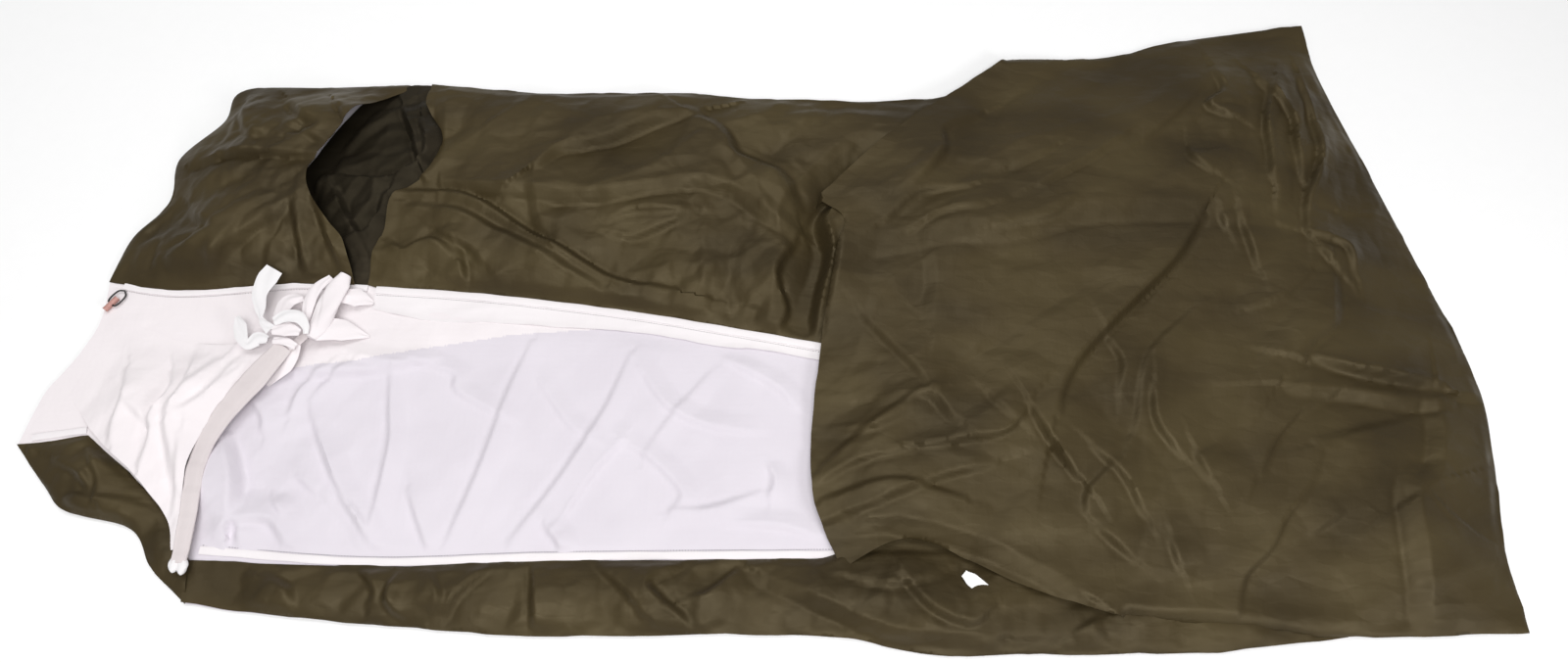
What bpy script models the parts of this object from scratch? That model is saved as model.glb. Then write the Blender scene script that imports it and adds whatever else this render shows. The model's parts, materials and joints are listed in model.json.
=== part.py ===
"""Bivy sack, lying flat with its side opening turned back.

Olive nylon shell, white cotton liner, neck flap with a drawstring casing, tie tapes, a care label and a toggle.
Metres, +Z up. +X runs from head to foot, +Y to the far side. The origin is on the floor under the middle.
Cloth is modelled as thin plain solids: flat sheets lie in layers on the ground panel, and loose cloth is an arched
shell with real room under it. Every arched shell stays clear of the layers it covers.
"""
import bmesh
import bpy
from math import pi, sin
from mathutils import Matrix, Vector
from mathutils.geometry import delaunay_2d_cdt

# Overall plan size. The outline points below are drawn on a sack of the drawn size and follow these two.
SACK_LENGTH = 2.20
SACK_WIDTH = 1.09
DRAWN_LENGTH = 2.20
DRAWN_WIDTH = 1.09

# Layers, from the floor up
GROUND_THICKNESS = 0.002
LINER_THICKNESS = 0.0015
FACING_THICKNESS = 0.0012
SHELL_THICKNESS = 0.0025
LAYER_GAP = 0.0003
SEAM_GAP = 0.003          # in plan, between neighbouring pieces of cloth
SEAM_ALLOWANCE = 0.002    # the liner is sewn into the edge seam, this far inside the outline

# How high the loose cloth stands over the layers below, and how far in from its edge it gets there
HOOD_RISE = 0.058
HOOD_REACH = 0.13
FAR_RISE = 0.026
FAR_REACH = 0.12
NEAR_RISE = 0.014
NEAR_REACH = 0.05
HEAD_RISE = 0.024
HEAD_REACH = 0.09
GUSSET_RISE = 0.010
GUSSET_REACH = 0.05
COVER_RISE = 0.042
COVER_REACH = 0.22
COVER_CLEARANCE = 0.007   # between the cover and the cloth it lies over
FLAP_RISE = 0.009
FLAP_REACH = 0.15

# Strips along the edges of the opening
HEM_WIDTH = 0.012
FACING_WIDTH = 0.042
BINDING_WIDTH = 0.011
ALLOWANCE_WIDTH = 0.010

# Drawstring, tapes and small pieces
CASING_WIDTH = 0.028
CASING_HEIGHT = 0.008
CASING_WALL = 0.001
DRAW_TAPE_WIDTH = 0.014
DRAW_TAPE_THICKNESS = 0.0014
TIE_WIDTH = 0.022
TIE_THICKNESS = 0.0014
LABEL_LENGTH = 0.042
LABEL_WIDTH = 0.019
LABEL_THICKNESS = 0.0008
LABEL_GAP = 0.0015        # between the label and the near panel's highest cloth
LOOP_DIAMETER = 0.0028
TOGGLE_LENGTH = 0.026
TOGGLE_DIAMETER = 0.009
TOGGLE_BORE = 0.0042

CELL = 0.040              # grid of the cloth shells
EDGE_STEP = 0.028         # spacing of points along an outline

# Heights that follow from the layers
ON_GROUND = GROUND_THICKNESS + LAYER_GAP
ON_LINER = ON_GROUND + LINER_THICKNESS + LAYER_GAP
ON_FACING = ON_LINER + FACING_THICKNESS + LAYER_GAP
ON_HEM = ON_FACING + FACING_THICKNESS + LAYER_GAP

OLIVE = (0.075, 0.072, 0.030)
WHITE = (0.80, 0.77, 0.80)
WARM_WHITE = (0.80, 0.73, 0.70)
BEIGE = (0.70, 0.62, 0.56)
DARK = (0.02, 0.016, 0.014)
SALMON = (0.50, 0.30, 0.25)

# Outline of the sack, in runs that meet at corners
HEAD_RUN = [(-1.100, -0.235), (-1.080, -0.158), (-1.045, -0.090), (-1.024, -0.030), (-1.027, 0.037)]
HOOD_RUN = [(-1.027, 0.037), (-1.003, 0.120), (-0.958, 0.185), (-0.962, 0.265), (-0.902, 0.340),
            (-0.880, 0.405), (-0.726, 0.411), (-0.560, 0.418)]
FAR_RUN = [(-0.560, 0.418), (-0.357, 0.399), (-0.124, 0.399), (0.026, 0.386), (0.300, 0.389),
           (0.429, 0.469)]
COVER_FAR_RUN = [(0.429, 0.469), (0.600, 0.474), (0.725, 0.507), (0.953, 0.545)]
FOOT_RUN = [(0.953, 0.545), (0.960, 0.440), (1.010, 0.236), (1.053, 0.063), (1.098, -0.130),
            (1.094, -0.260), (1.077, -0.380), (1.082, -0.514)]
NEAR_RUN = [(1.082, -0.514), (0.829, -0.520), (0.630, -0.540), (0.380, -0.543), (0.245, -0.543),
            (0.074, -0.517), (-0.300, -0.518), (-0.479, -0.506), (-0.639, -0.493), (-0.800, -0.474)]
NEAR_HEAD_RUN = [(-0.800, -0.474), (-0.860, -0.419), (-0.901, -0.365), (-1.000, -0.338),
                 (-1.044, -0.298), (-1.100, -0.235)]

# Edges inside the outline
OPENING_FAR = [(-1.027, 0.037), (-0.905, 0.020), (-0.720, 0.034), (-0.600, 0.027), (-0.420, 0.013),
               (-0.200, -0.016), (0.000, -0.052), (0.200, -0.090), (0.420, -0.120)]
OPENING_NEAR = [(-0.795, -0.402), (-0.550, -0.419), (-0.300, -0.412), (0.000, -0.409), (0.250, -0.409),
                (0.480, -0.418), (0.660, -0.465), (0.800, -0.511)]
PIT_HOOD_SIDE = [(-0.592, 0.412), (-0.626, 0.380), (-0.660, 0.330), (-0.690, 0.270), (-0.718, 0.215),
                 (-0.708, 0.165), (-0.676, 0.120), (-0.648, 0.085), (-0.634, 0.031)]
PIT_BODY_SIDE = [(-0.560, 0.418), (-0.558, 0.356), (-0.528, 0.300), (-0.529, 0.250), (-0.556, 0.210),
                 (-0.592, 0.180), (-0.597, 0.126), (-0.610, 0.085), (-0.614, 0.030)]
MOUTH_FAR_EDGE = [(0.429, 0.469), (0.321, 0.382), (0.211, 0.290), (0.094, 0.168)]
MOUTH_EDGE = [(0.094, 0.168), (0.138, 0.128), (0.122, 0.065), (0.104, -0.050), (0.088, -0.180),
              (0.084, -0.310), (0.124, -0.428)]
MOUTH_NEAR_EDGE = [(0.124, -0.428), (0.195, -0.386), (0.250, -0.388), (0.300, -0.411), (0.400, -0.462),
                   (0.520, -0.497)]
COVER_NEAR_EDGE = [(0.520, -0.497), (0.720, -0.511), (0.829, -0.520), (1.082, -0.514)]
CASING_ROUTE = [(-0.811, -0.418), (-0.812, -0.353), (-0.815, -0.270), (-0.795, -0.203), (-0.745, -0.131),
                (-0.710, -0.088), (-0.680, -0.050), (-0.662, -0.014), (-0.646, 0.030)]
FLAP_NEAR_EDGE = [(-1.040, -0.160), (-0.982, -0.212), (-0.932, -0.256), (-0.888, -0.294), (-0.840, -0.345),
                  (-0.829, -0.400)]
FLAP_FAR_EDGE = [(-0.712, -0.060), (-0.793, -0.074), (-0.876, -0.070), (-0.944, -0.045), (-0.997, -0.025)]
HEAD_PANEL_TOP = [(-1.100, -0.235), (-1.054, -0.232), (-0.996, -0.222)]
HEAD_PANEL_SIDE = [(-0.996, -0.222), (-0.888, -0.308), (-0.842, -0.362), (-0.808, -0.410), (-0.800, -0.474)]

NECK_X = -0.800           # the liner's head sheet joins its back sheet here
MOUTH_HINGE = [(0.429, 0.469), (0.520, -0.497)]
FLAP_HINGE = [(-1.040, -0.160), (-0.997, -0.025)]

# Tape ends, from where each leaves the casing: x and y in plan, z above the floor
TIE_LONG = [(-0.756, -0.036, 0.0320), (-0.767, -0.016, 0.0320), (-0.773, 0.004, 0.0335),
            (-0.771, 0.024, 0.0355), (-0.758, 0.048, 0.0400)]
TIE_SHORT = [(-0.745, -0.093, 0.0345), (-0.776, -0.086, 0.0320), (-0.792, -0.060, 0.0285),
             (-0.801, -0.034, 0.0270)]
TIE_BOW = [(-0.690, -0.072, 0.0410), (-0.716, -0.062, 0.0425), (-0.729, -0.040, 0.0430),
           (-0.715, -0.020, 0.0430), (-0.690, -0.022, 0.0420), (-0.672, -0.046, 0.0410),
           (-0.664, -0.074, 0.0400)]
TIE_BOW_ROOT = (-0.677, -0.084, 0.0405)   # the bow lifts about a line along X, in front of both its legs
LABEL_ROOT = (0.296, -0.434)
LABEL_ANGLE = -0.72       # radians, the way the label points in plan
TOGGLE_SEAM = (-0.9947, 0.0188)   # where its cord loop is sewn in, at the liner's head corner
TOGGLE_ANGLE = 0.95       # radians, the way from the toggle to its seam in plan
# The cord loop, along and across the toggle from its middle: it goes through the bore and round the toggle's end
LOOP_ROUTE = [(0.028, 0.0), (0.023, 0.0075), (0.012, 0.0095), (0.003, 0.0085), (0.0, 0.005), (0.0, -0.005),
              (0.003, -0.0085), (0.012, -0.0095), (0.023, -0.0075), (0.028, 0.0)]


def plan(x, y):
    """A point of the drawn plan, at the sack's own size."""
    return Vector((x * SACK_LENGTH / DRAWN_LENGTH, y * SACK_WIDTH / DRAWN_WIDTH))


def smooth(points, step=EDGE_STEP):
    """A smooth open line through the points, with a point about every step."""
    knots = [Vector(p) for p in points]
    knots = [2 * knots[0] - knots[1]] + knots + [2 * knots[-1] - knots[-2]]
    line = [knots[1]]
    for before, start, end, after in zip(knots, knots[1:], knots[2:], knots[3:]):
        pieces = max(1, round((end - start).length / step))
        for k in range(1, pieces + 1):
            t = k / pieces
            line.append(0.5 * (2 * start + (end - before) * t
                               + (2 * before - 5 * start + 4 * end - after) * t ** 2
                               + (3 * start - before - 3 * end + after) * t ** 3))
    return line


def run(points, step=EDGE_STEP):
    """A smooth run of an outline, from drawn points."""
    return smooth([plan(x, y) for x, y in points], step)


def chain(*runs):
    """One open line from runs that follow each other; a point on top of the last one is left out."""
    points = []
    for point in (p for line in runs for p in line):
        if not points or (point - points[-1]).length > SEAM_GAP / 2:
            points.append(point)
    return points


def loop(*runs):
    """A closed outline from runs that follow each other, counter-clockwise from above."""
    points = chain(*runs)
    if (points[0] - points[-1]).length < SEAM_GAP / 2:
        points.pop()
    area = sum(a.cross(b) for a, b in zip(points, points[1:] + points[:1])) / 2
    return points if area > 0 else points[::-1]


def offset(line, distance):
    """The line moved sideways, to its left where distance is positive."""
    moved = []
    for before, point, after in zip([line[0]] + line[:-1], line, line[1:] + [line[-1]]):
        along = (after - before).normalized()
        moved.append(point + distance * Vector((-along.y, along.x)))
    return moved


def to_edge(point, line):
    """The distance from a point to an open line."""
    best = 1e9
    for a, b in zip(line, line[1:]):
        side = b - a
        t = min(1.0, max(0.0, (point - a).dot(side) / side.length_squared))
        best = min(best, (a + t * side - point).length)
    return best


def inside(point, outline):
    """Whether a point is inside a closed outline."""
    odd = False
    for a, b in zip(outline, outline[1:] + outline[:1]):
        if (a.y > point.y) != (b.y > point.y):
            if point.x < a.x + (point.y - a.y) / (b.y - a.y) * (b.x - a.x):
                odd = not odd
    return odd


def inset(outline, distance):
    """The closed outline drawn in by a distance, without the points that would crowd a corner."""
    count = len(outline)
    closed = outline + outline[:1]
    drawn = []
    for k, point in enumerate(outline):
        along = (outline[(k + 1) % count] - outline[k - 1]).normalized()
        moved = point + distance * Vector((-along.y, along.x))
        if inside(moved, outline) and to_edge(moved, closed) > 0.9 * distance:
            drawn.append(moved)
    return loop(drawn)


def clip(outline, x, keep_right):
    """The part of a closed outline on one side of a line across the sack."""
    kept = []
    side = 1 if keep_right else -1
    for a, b in zip(outline, outline[1:] + outline[:1]):
        if side * (a.x - x) >= 0:
            kept.append(a)
        if (a.x - x) * (b.x - x) < 0:
            kept.append(a + (x - a.x) / (b.x - a.x) * (b - a))
    return loop(kept)


def arch(distance, rise, reach):
    """Height of loose cloth at a distance from the edge that holds it down."""
    return rise * sin(pi / 2 * min(distance / reach, 1.0))


def material(name, colour, roughness):
    mat = bpy.data.materials.new(name)
    mat.use_nodes = True
    shader = mat.node_tree.nodes["Principled BSDF"]
    shader.inputs["Base Color"].default_value = (*colour, 1)
    shader.inputs["Roughness"].default_value = roughness
    return mat


def add(name, data, colour, roughness):
    """A new object in the part's collection, with a material of its own."""
    obj = bpy.data.objects.new(name, data)
    parts.objects.link(obj)
    data.materials.append(material(name, colour, roughness))
    return obj


def cloth(name, outline, inner, height, thickness, colour, roughness):
    """A piece of cloth: an open surface over an outline and inner points, made thick upwards with Solidify."""
    count = len(outline)
    flat, _, faces, _, _, _ = delaunay_2d_cdt(outline + inner, [], [list(range(count))], 1, 1e-5)
    bm = bmesh.new()
    verts = [bm.verts.new((p.x, p.y, height(p))) for p in flat]
    for face in faces:
        bm.faces.new([verts[k] for k in face])
    bmesh.ops.recalc_face_normals(bm, faces=bm.faces)
    if sum(f.normal.z for f in bm.faces) < 0:
        bmesh.ops.reverse_faces(bm, faces=bm.faces)
    mesh = bpy.data.meshes.new(name)
    bm.to_mesh(mesh)
    bm.free()
    obj = add(name, mesh, colour, roughness)
    thick = obj.modifiers.new("Thickness", "SOLIDIFY")
    thick.thickness = thickness
    thick.offset = 1
    return obj


def flat_sheet(name, outline, bottom, thickness, colour, roughness=0.8):
    """A flat piece of cloth, cut to an outline."""
    return cloth(name, outline, [], lambda p: bottom, thickness, colour, roughness)


def cloth_shell(name, outline, underside, colour, roughness=0.5, cell=CELL):
    """Loose cloth over an outline, with its underside at a height that changes from place to place."""
    xs = [p.x for p in outline]
    ys = [p.y for p in outline]
    closed = outline + outline[:1]
    inner = []
    rows = int((max(ys) - min(ys)) / cell) + 1
    columns = int((max(xs) - min(xs)) / cell) + 1
    for row in range(rows + 1):
        for column in range(columns + 1):
            shift = 0.5 * (row % 2)
            point = Vector((min(xs) + (column + shift) * cell, min(ys) + row * cell))
            if inside(point, outline) and to_edge(point, closed) > 0.45 * cell:
                inner.append(point)
    return cloth(name, outline, inner, underside, SHELL_THICKNESS, colour, roughness)


def ribbon(name, route, width, thickness, colour, caps=True, roughness=0.8):
    """A flat tape along a route, with rounded edges; an open tube where it has no caps."""
    curve = bpy.data.curves.new(name, "CURVE")
    curve.dimensions = "3D"
    curve.twist_mode = "Z_UP"
    curve.bevel_depth = thickness / 2
    curve.bevel_resolution = 1
    curve.extrude = width / 2 - thickness / 2
    curve.use_fill_caps = caps
    spline = curve.splines.new("POLY")
    spline.points.add(len(route) - 1)
    for knot, point in zip(spline.points, route):
        knot.co = (*point, 1)
        knot.tilt = pi / 2
    obj = add(name, curve, colour, roughness)
    if caps:
        weld = obj.modifiers.new("Caps", "WELD")
        weld.merge_threshold = 0.00002
    return obj


def hang_on(obj, name, place):
    """Gives a moving piece its hinge: an empty on the axis, as the piece's parent."""
    pivot = pivots.get(name)
    if pivot is None:
        pivot = bpy.data.objects.new(name, None)
        parts.objects.link(pivot)
        pivot.location = place
        pivots[name] = pivot
    obj.parent = pivot
    obj.matrix_parent_inverse = Matrix.Translation(-Vector(place))


def strip(line, first, second):
    """A closed outline between two offsets of a line."""
    return loop(offset(line, first), offset(line, second)[::-1])


def sack_outline():
    return loop(run(HEAD_RUN), run(HOOD_RUN), run(FAR_RUN), run(COVER_FAR_RUN), run(FOOT_RUN),
                run(NEAR_RUN), run(NEAR_HEAD_RUN))


def trimmed(outline):
    """A shell's outline, drawn in by half a seam gap on every side."""
    return inset(outline, SEAM_GAP / 2)


def make_ground():
    flat_sheet("ground_panel", sack, 0.0, GROUND_THICKNESS, OLIVE, 0.45)


def make_liner():
    lining = inset(sack, SEAM_ALLOWANCE)
    neck = plan(NECK_X, 0).x
    flat_sheet("liner_back_sheet", clip(lining, neck + LAYER_GAP, True), ON_GROUND, LINER_THICKNESS, WHITE)
    flat_sheet("liner_head_sheet", clip(lining, neck - LAYER_GAP, False), ON_GROUND, LINER_THICKNESS, WHITE)


def between(line, low, high):
    """The stretch of a line between two distances along the sack."""
    return [p for p in line if plan(low, 0).x <= p.x <= plan(high, 0).x]


def make_opening_edges():
    """Hems, facing and bindings along the two edges of the opening."""
    far = run(OPENING_FAR)
    near = run(OPENING_NEAR)
    beside = -SEAM_GAP
    body_far = between(far, -0.60, 0.42)
    flat_sheet("far_facing", strip(body_far, beside, beside - FACING_WIDTH), ON_LINER,
               FACING_THICKNESS, WHITE)
    flat_sheet("far_hem", strip(body_far, beside, beside - HEM_WIDTH), ON_FACING, FACING_THICKNESS, WHITE)
    flat_sheet("hood_binding", strip(between(far, -1.0, -0.68), beside, beside - BINDING_WIDTH), ON_LINER,
               FACING_THICKNESS, WHITE)
    flat_sheet("near_hem", strip(between(near, -0.79, 0.48), SEAM_GAP, SEAM_GAP + HEM_WIDTH), ON_LINER,
               FACING_THICKNESS, WHITE)
    top = run(HEAD_PANEL_TOP)
    flat_sheet("head_binding", strip(top[1:], SEAM_GAP, SEAM_GAP + BINDING_WIDTH), ON_LINER,
               FACING_THICKNESS, WHITE)


def far_height(point):
    return ON_LINER + arch(to_edge(point, far_held), FAR_RISE, FAR_REACH)


def near_height(point):
    return ON_LINER + arch(to_edge(point, near_held), NEAR_RISE, NEAR_REACH)


def make_panels():
    cloth_shell("far_front_panel", trimmed(far_panel), far_height, OLIVE)
    cloth_shell("near_front_panel", trimmed(near_panel), near_height, OLIVE)
    head = loop(run(HEAD_PANEL_TOP), run(HEAD_PANEL_SIDE), run(NEAR_HEAD_RUN))
    held = head + head[:1]
    cloth_shell("near_head_panel", trimmed(head),
                lambda p: ON_LINER + arch(to_edge(p, held), HEAD_RISE, HEAD_REACH), OLIVE, cell=0.03)


def make_hood():
    """The hood is held down along the head, the far side and its binding, and open towards the pit."""
    binding = between(run(OPENING_FAR), -1.03, -0.635)
    far_end = plan(*PIT_HOOD_SIDE[0]).x
    rim = [p for p in run(HOOD_RUN) if p.x < far_end]
    outline = loop(rim, run(PIT_HOOD_SIDE), binding[::-1])
    held = chain(binding[::-1], rim)
    cloth_shell("hood", trimmed(outline),
                lambda p: ON_LINER + arch(to_edge(p, held), HOOD_RISE, HOOD_REACH), OLIVE)
    pit = loop(run(PIT_BODY_SIDE), run(PIT_HOOD_SIDE)[::-1])
    low = pit + pit[:1]
    cloth_shell("neck_gusset", trimmed(pit),
                lambda p: ON_LINER + arch(to_edge(p, low), GUSSET_RISE, GUSSET_REACH), OLIVE, cell=0.03)


def cover_height(point):
    """The cover's underside: its own arch, and never lower than the cloth that it lies over."""
    height = ON_LINER + arch(to_edge(point, cover_edge), COVER_RISE, COVER_REACH)
    for outline, below in ((far_panel, far_height), (near_panel, near_height)):
        fade = min(to_edge(point, outline + outline[:1]) / CELL, 1.0)
        if inside(point, outline):
            fade = 0.0
        top = below(point) + SHELL_THICKNESS + COVER_CLEARANCE
        if fade < 1:
            height = max(height, top + fade * (ON_HEM - top))
    if point.x < plan(*MOUTH_HINGE[1]).x:
        height = max(height, ON_HEM + COVER_CLEARANCE)
    return height


def make_cover():
    """The foot cover, in a fixed part and a loose mouth that lifts about the line between them."""
    hinge = run(MOUTH_HINGE, CELL)
    fixed = loop(run(COVER_FAR_RUN), run(FOOT_RUN), run(COVER_NEAR_EDGE)[::-1], hinge[::-1])
    mouth = loop(run(MOUTH_FAR_EDGE), run(MOUTH_EDGE), run(MOUTH_NEAR_EDGE), hinge[::-1])
    cloth_shell("foot_cover", trimmed(fixed), cover_height, OLIVE)
    flap = cloth_shell("cover_mouth", trimmed(mouth), cover_height, OLIVE)
    top = max(cover_height(p) for p in hinge) + SHELL_THICKNESS
    hang_on(flap, "cover_mouth_hinge", (*(0.5 * (hinge[0] + hinge[-1])), top))
    foot = run(FOOT_RUN)[2:-2]
    flat_sheet("foot_seam_allowance", strip(foot, -0.028, -0.028 - ALLOWANCE_WIDTH), ON_LINER,
               FACING_THICKNESS, OLIVE, 0.6)


def casing_route():
    """The casing's centre line: it lies over the near hem, the flap's edge and the far facing."""
    line = run(CASING_ROUTE, 0.03)
    rest = ON_LINER + HEAD_RISE / 2 + SHELL_THICKNESS + CASING_HEIGHT / 2
    return [Vector((p.x, p.y, rest + 0.004 * sin(pi * k / (len(line) - 1)))) for k, p in enumerate(line)]


def make_neck():
    """The neck flap with its drawstring casing, and the tape inside the casing."""
    route = casing_route()
    flat_route = [p.xy for p in route]
    beside = offset(flat_route, CASING_WIDTH / 2 + LAYER_GAP)
    seam = [p for p in beside if run(FLAP_NEAR_EDGE)[-1].y <= p.y <= run(FLAP_FAR_EDGE)[0].y]
    outline = loop(run(FLAP_NEAR_EDGE), seam, run(FLAP_FAR_EDGE), run(FLAP_HINGE)[::-1])
    hinge = run(FLAP_HINGE)

    def height(point):
        return ON_HEM + LAYER_GAP + arch(to_edge(point, hinge), FLAP_RISE, FLAP_REACH)

    flap = cloth_shell("neck_flap", outline, height, WARM_WHITE, 0.85)
    casing = ribbon("drawstring_casing", route, CASING_WIDTH, CASING_HEIGHT, BEIGE, caps=False)
    wall = casing.modifiers.new("Wall", "SOLIDIFY")
    wall.thickness = CASING_WALL
    wall.offset = -1
    draw = ribbon("draw_tape", route, DRAW_TAPE_WIDTH, DRAW_TAPE_THICKNESS, BEIGE)
    top = ON_HEM + LAYER_GAP + SHELL_THICKNESS
    pivot = (*(0.5 * (hinge[0] + hinge[-1])), top)
    for obj in (flap, casing, draw):
        hang_on(obj, "neck_flap_hinge", pivot)


def make_ties():
    for name, points, root in (("tie_tape_long", TIE_LONG, TIE_LONG[0]),
                               ("tie_tape_short", TIE_SHORT, TIE_SHORT[0]),
                               ("tie_tape_bow", TIE_BOW, TIE_BOW_ROOT)):
        route = smooth([(*plan(x, y), z) for x, y, z in points], 0.012)
        tape = ribbon(name, route, TIE_WIDTH, TIE_THICKNESS, WHITE)
        hang_on(tape, name + "_hinge", (*plan(*root[:2]), root[2]))


def make_label():
    bpy.ops.mesh.primitive_cube_add(size=1)
    obj = bpy.context.object
    obj.name = "care_label"
    bpy.context.collection.objects.unlink(obj)
    parts.objects.link(obj)
    obj.data.materials.append(material("care_label", WHITE, 0.6))
    obj.data.transform(Matrix.Translation((0.5, 0, 0.5)))
    obj.data.transform(Matrix.Diagonal((LABEL_LENGTH, LABEL_WIDTH, LABEL_THICKNESS, 1)))
    root = plan(*LABEL_ROOT)
    obj.rotation_euler.z = LABEL_ANGLE
    obj.location = (*root, ON_LINER + NEAR_RISE + SHELL_THICKNESS + LABEL_GAP)


def round_bar(name, radius, length, segments):
    """A mesh of a round bar along Z."""
    bm = bmesh.new()
    bmesh.ops.create_cone(bm, cap_ends=True, segments=segments, radius1=radius, radius2=radius, depth=length)
    mesh = bpy.data.meshes.new(name)
    bm.to_mesh(mesh)
    bm.free()
    return mesh


def make_toggle():
    """A barrel toggle on a cord loop at the liner's head corner; both swing about the loop's sewn end."""
    height = ON_LINER + LAYER_GAP + TOGGLE_DIAMETER / 2
    seam = Vector((*plan(*TOGGLE_SEAM), height))
    turn = (Matrix.Translation(seam) @ Matrix.Rotation(TOGGLE_ANGLE, 4, "Z")
            @ Matrix.Translation((-LOOP_ROUTE[0][0], 0, 0)))
    toggle = add("toggle", round_bar("toggle", TOGGLE_DIAMETER / 2, TOGGLE_LENGTH, 20), SALMON, 0.5)
    toggle.data.transform(turn @ Matrix.Rotation(pi / 2, 4, "Y"))
    cutter = bpy.data.objects.new("toggle_bore", round_bar("toggle_bore", TOGGLE_BORE / 2,
                                                           2 * TOGGLE_DIAMETER, 16))
    cutter.data.transform(turn @ Matrix.Rotation(pi / 2, 4, "X"))
    cutters.objects.link(cutter)
    cutter.hide_render = True
    cutter.display_type = "WIRE"
    cut = toggle.modifiers.new("Bore", "BOOLEAN")
    cut.object = cutter
    cut.operation = "DIFFERENCE"
    curve = bpy.data.curves.new("toggle_loop", "CURVE")
    curve.dimensions = "3D"
    curve.bevel_depth = LOOP_DIAMETER / 2
    curve.bevel_resolution = 1
    route = smooth([(along, across, 0) for along, across in LOOP_ROUTE], 0.003)[:-1]
    spline = curve.splines.new("POLY")
    spline.points.add(len(route) - 1)
    for knot, point in zip(spline.points, route):
        knot.co = (*(turn @ point), 1)
    spline.use_cyclic_u = True
    cord = add("toggle_loop", curve, DARK, 0.6)
    for obj in (toggle, cord):
        hang_on(obj, "toggle_hinge", turn @ route[0])


parts = bpy.data.collections.new("bivy_sack")
cutters = bpy.data.collections.new("cutters")
for old in list(bpy.data.objects):
    bpy.data.objects.remove(old)
bpy.context.scene.collection.children.link(parts)
bpy.context.scene.collection.children.link(cutters)
pivots = {}

sack = sack_outline()
far_end_x = MOUTH_HINGE[0][0] - 0.012
far_panel = loop([p for p in run(FAR_RUN) if p.x < plan(far_end_x, 0).x],
                 between(run(OPENING_FAR), -0.60, far_end_x)[::-1], run(PIT_BODY_SIDE)[::-1])
far_held = far_panel + far_panel[:1]
near_panel = loop(run(OPENING_NEAR), [p for p in run(NEAR_RUN) if p.x < plan(0.80, 0).x])
near_held = near_panel + near_panel[:1]
cover = loop(run(COVER_FAR_RUN), run(FOOT_RUN), run(COVER_NEAR_EDGE)[::-1], run(MOUTH_NEAR_EDGE)[::-1],
             run(MOUTH_EDGE)[::-1], run(MOUTH_FAR_EDGE)[::-1])
cover_edge = cover + cover[:1]

make_ground()
make_liner()
make_opening_edges()
make_panels()
make_hood()
make_cover()
make_neck()
make_ties()
make_label()
make_toggle()
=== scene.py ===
"""The looks of a bivy sack that lies open on a pale floor: crumpled olive nylon, white cotton, tapes and trim.

Each cloth piece is a closed sheet over its own outline in plan. Its height is the CAD solid's upper face, evened
out, with creases and crumples laid over it. All sizes are in metres, in the CAD part's frame.
"""

import json
from math import atan2, cos, pi, radians, sin

import bpy
import numpy as np
from mathutils.bvhtree import BVHTree
from mathutils.geometry import delaunay_2d_cdt
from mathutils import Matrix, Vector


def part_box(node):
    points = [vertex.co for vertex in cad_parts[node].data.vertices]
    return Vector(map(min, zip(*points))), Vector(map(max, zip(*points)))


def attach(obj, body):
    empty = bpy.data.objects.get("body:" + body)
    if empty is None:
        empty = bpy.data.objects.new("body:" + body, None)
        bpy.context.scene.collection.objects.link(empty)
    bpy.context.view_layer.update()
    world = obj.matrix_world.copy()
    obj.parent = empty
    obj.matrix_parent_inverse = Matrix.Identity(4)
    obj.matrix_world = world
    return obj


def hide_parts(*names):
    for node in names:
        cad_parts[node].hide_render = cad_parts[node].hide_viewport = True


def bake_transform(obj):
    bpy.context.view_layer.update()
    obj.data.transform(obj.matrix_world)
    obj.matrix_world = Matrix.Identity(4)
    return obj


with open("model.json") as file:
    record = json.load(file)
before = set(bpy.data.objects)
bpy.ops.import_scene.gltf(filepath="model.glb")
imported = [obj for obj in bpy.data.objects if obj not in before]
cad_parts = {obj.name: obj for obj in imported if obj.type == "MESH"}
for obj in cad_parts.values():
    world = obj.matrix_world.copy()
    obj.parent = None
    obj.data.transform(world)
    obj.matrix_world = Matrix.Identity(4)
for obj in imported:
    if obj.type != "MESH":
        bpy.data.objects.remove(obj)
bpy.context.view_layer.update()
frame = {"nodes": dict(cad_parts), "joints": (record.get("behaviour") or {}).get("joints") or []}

CAMERA_PLACE = (0.043, -0.8505, 1.7220)
CAMERA_TARGET = (0.043, -0.0475, 0.0)
CAMERA_LENS = 28.0

CELL = 0.004              # spacing of the points that carry creases
COARSE_CELL = 0.020       # spacing where cloth lies hidden and flat
NYLON = 0.0007            # thickness of the shell cloth
COTTON = 0.0006           # thickness of the liner cloth
CASING_WIDTH = 0.028
HEM_WIDTH = 0.012
STITCH_PITCH = 0.0042
STITCH_LENGTH = 0.0030
EDGE_SWAY = 0.0030        # how far a cut edge wanders

GROUND_TOP = 0.0021
LINER_TOP = 0.0039
SHELL_FOOT = 0.0048       # the shell cloth's lowest height, along its sewn edges

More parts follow.
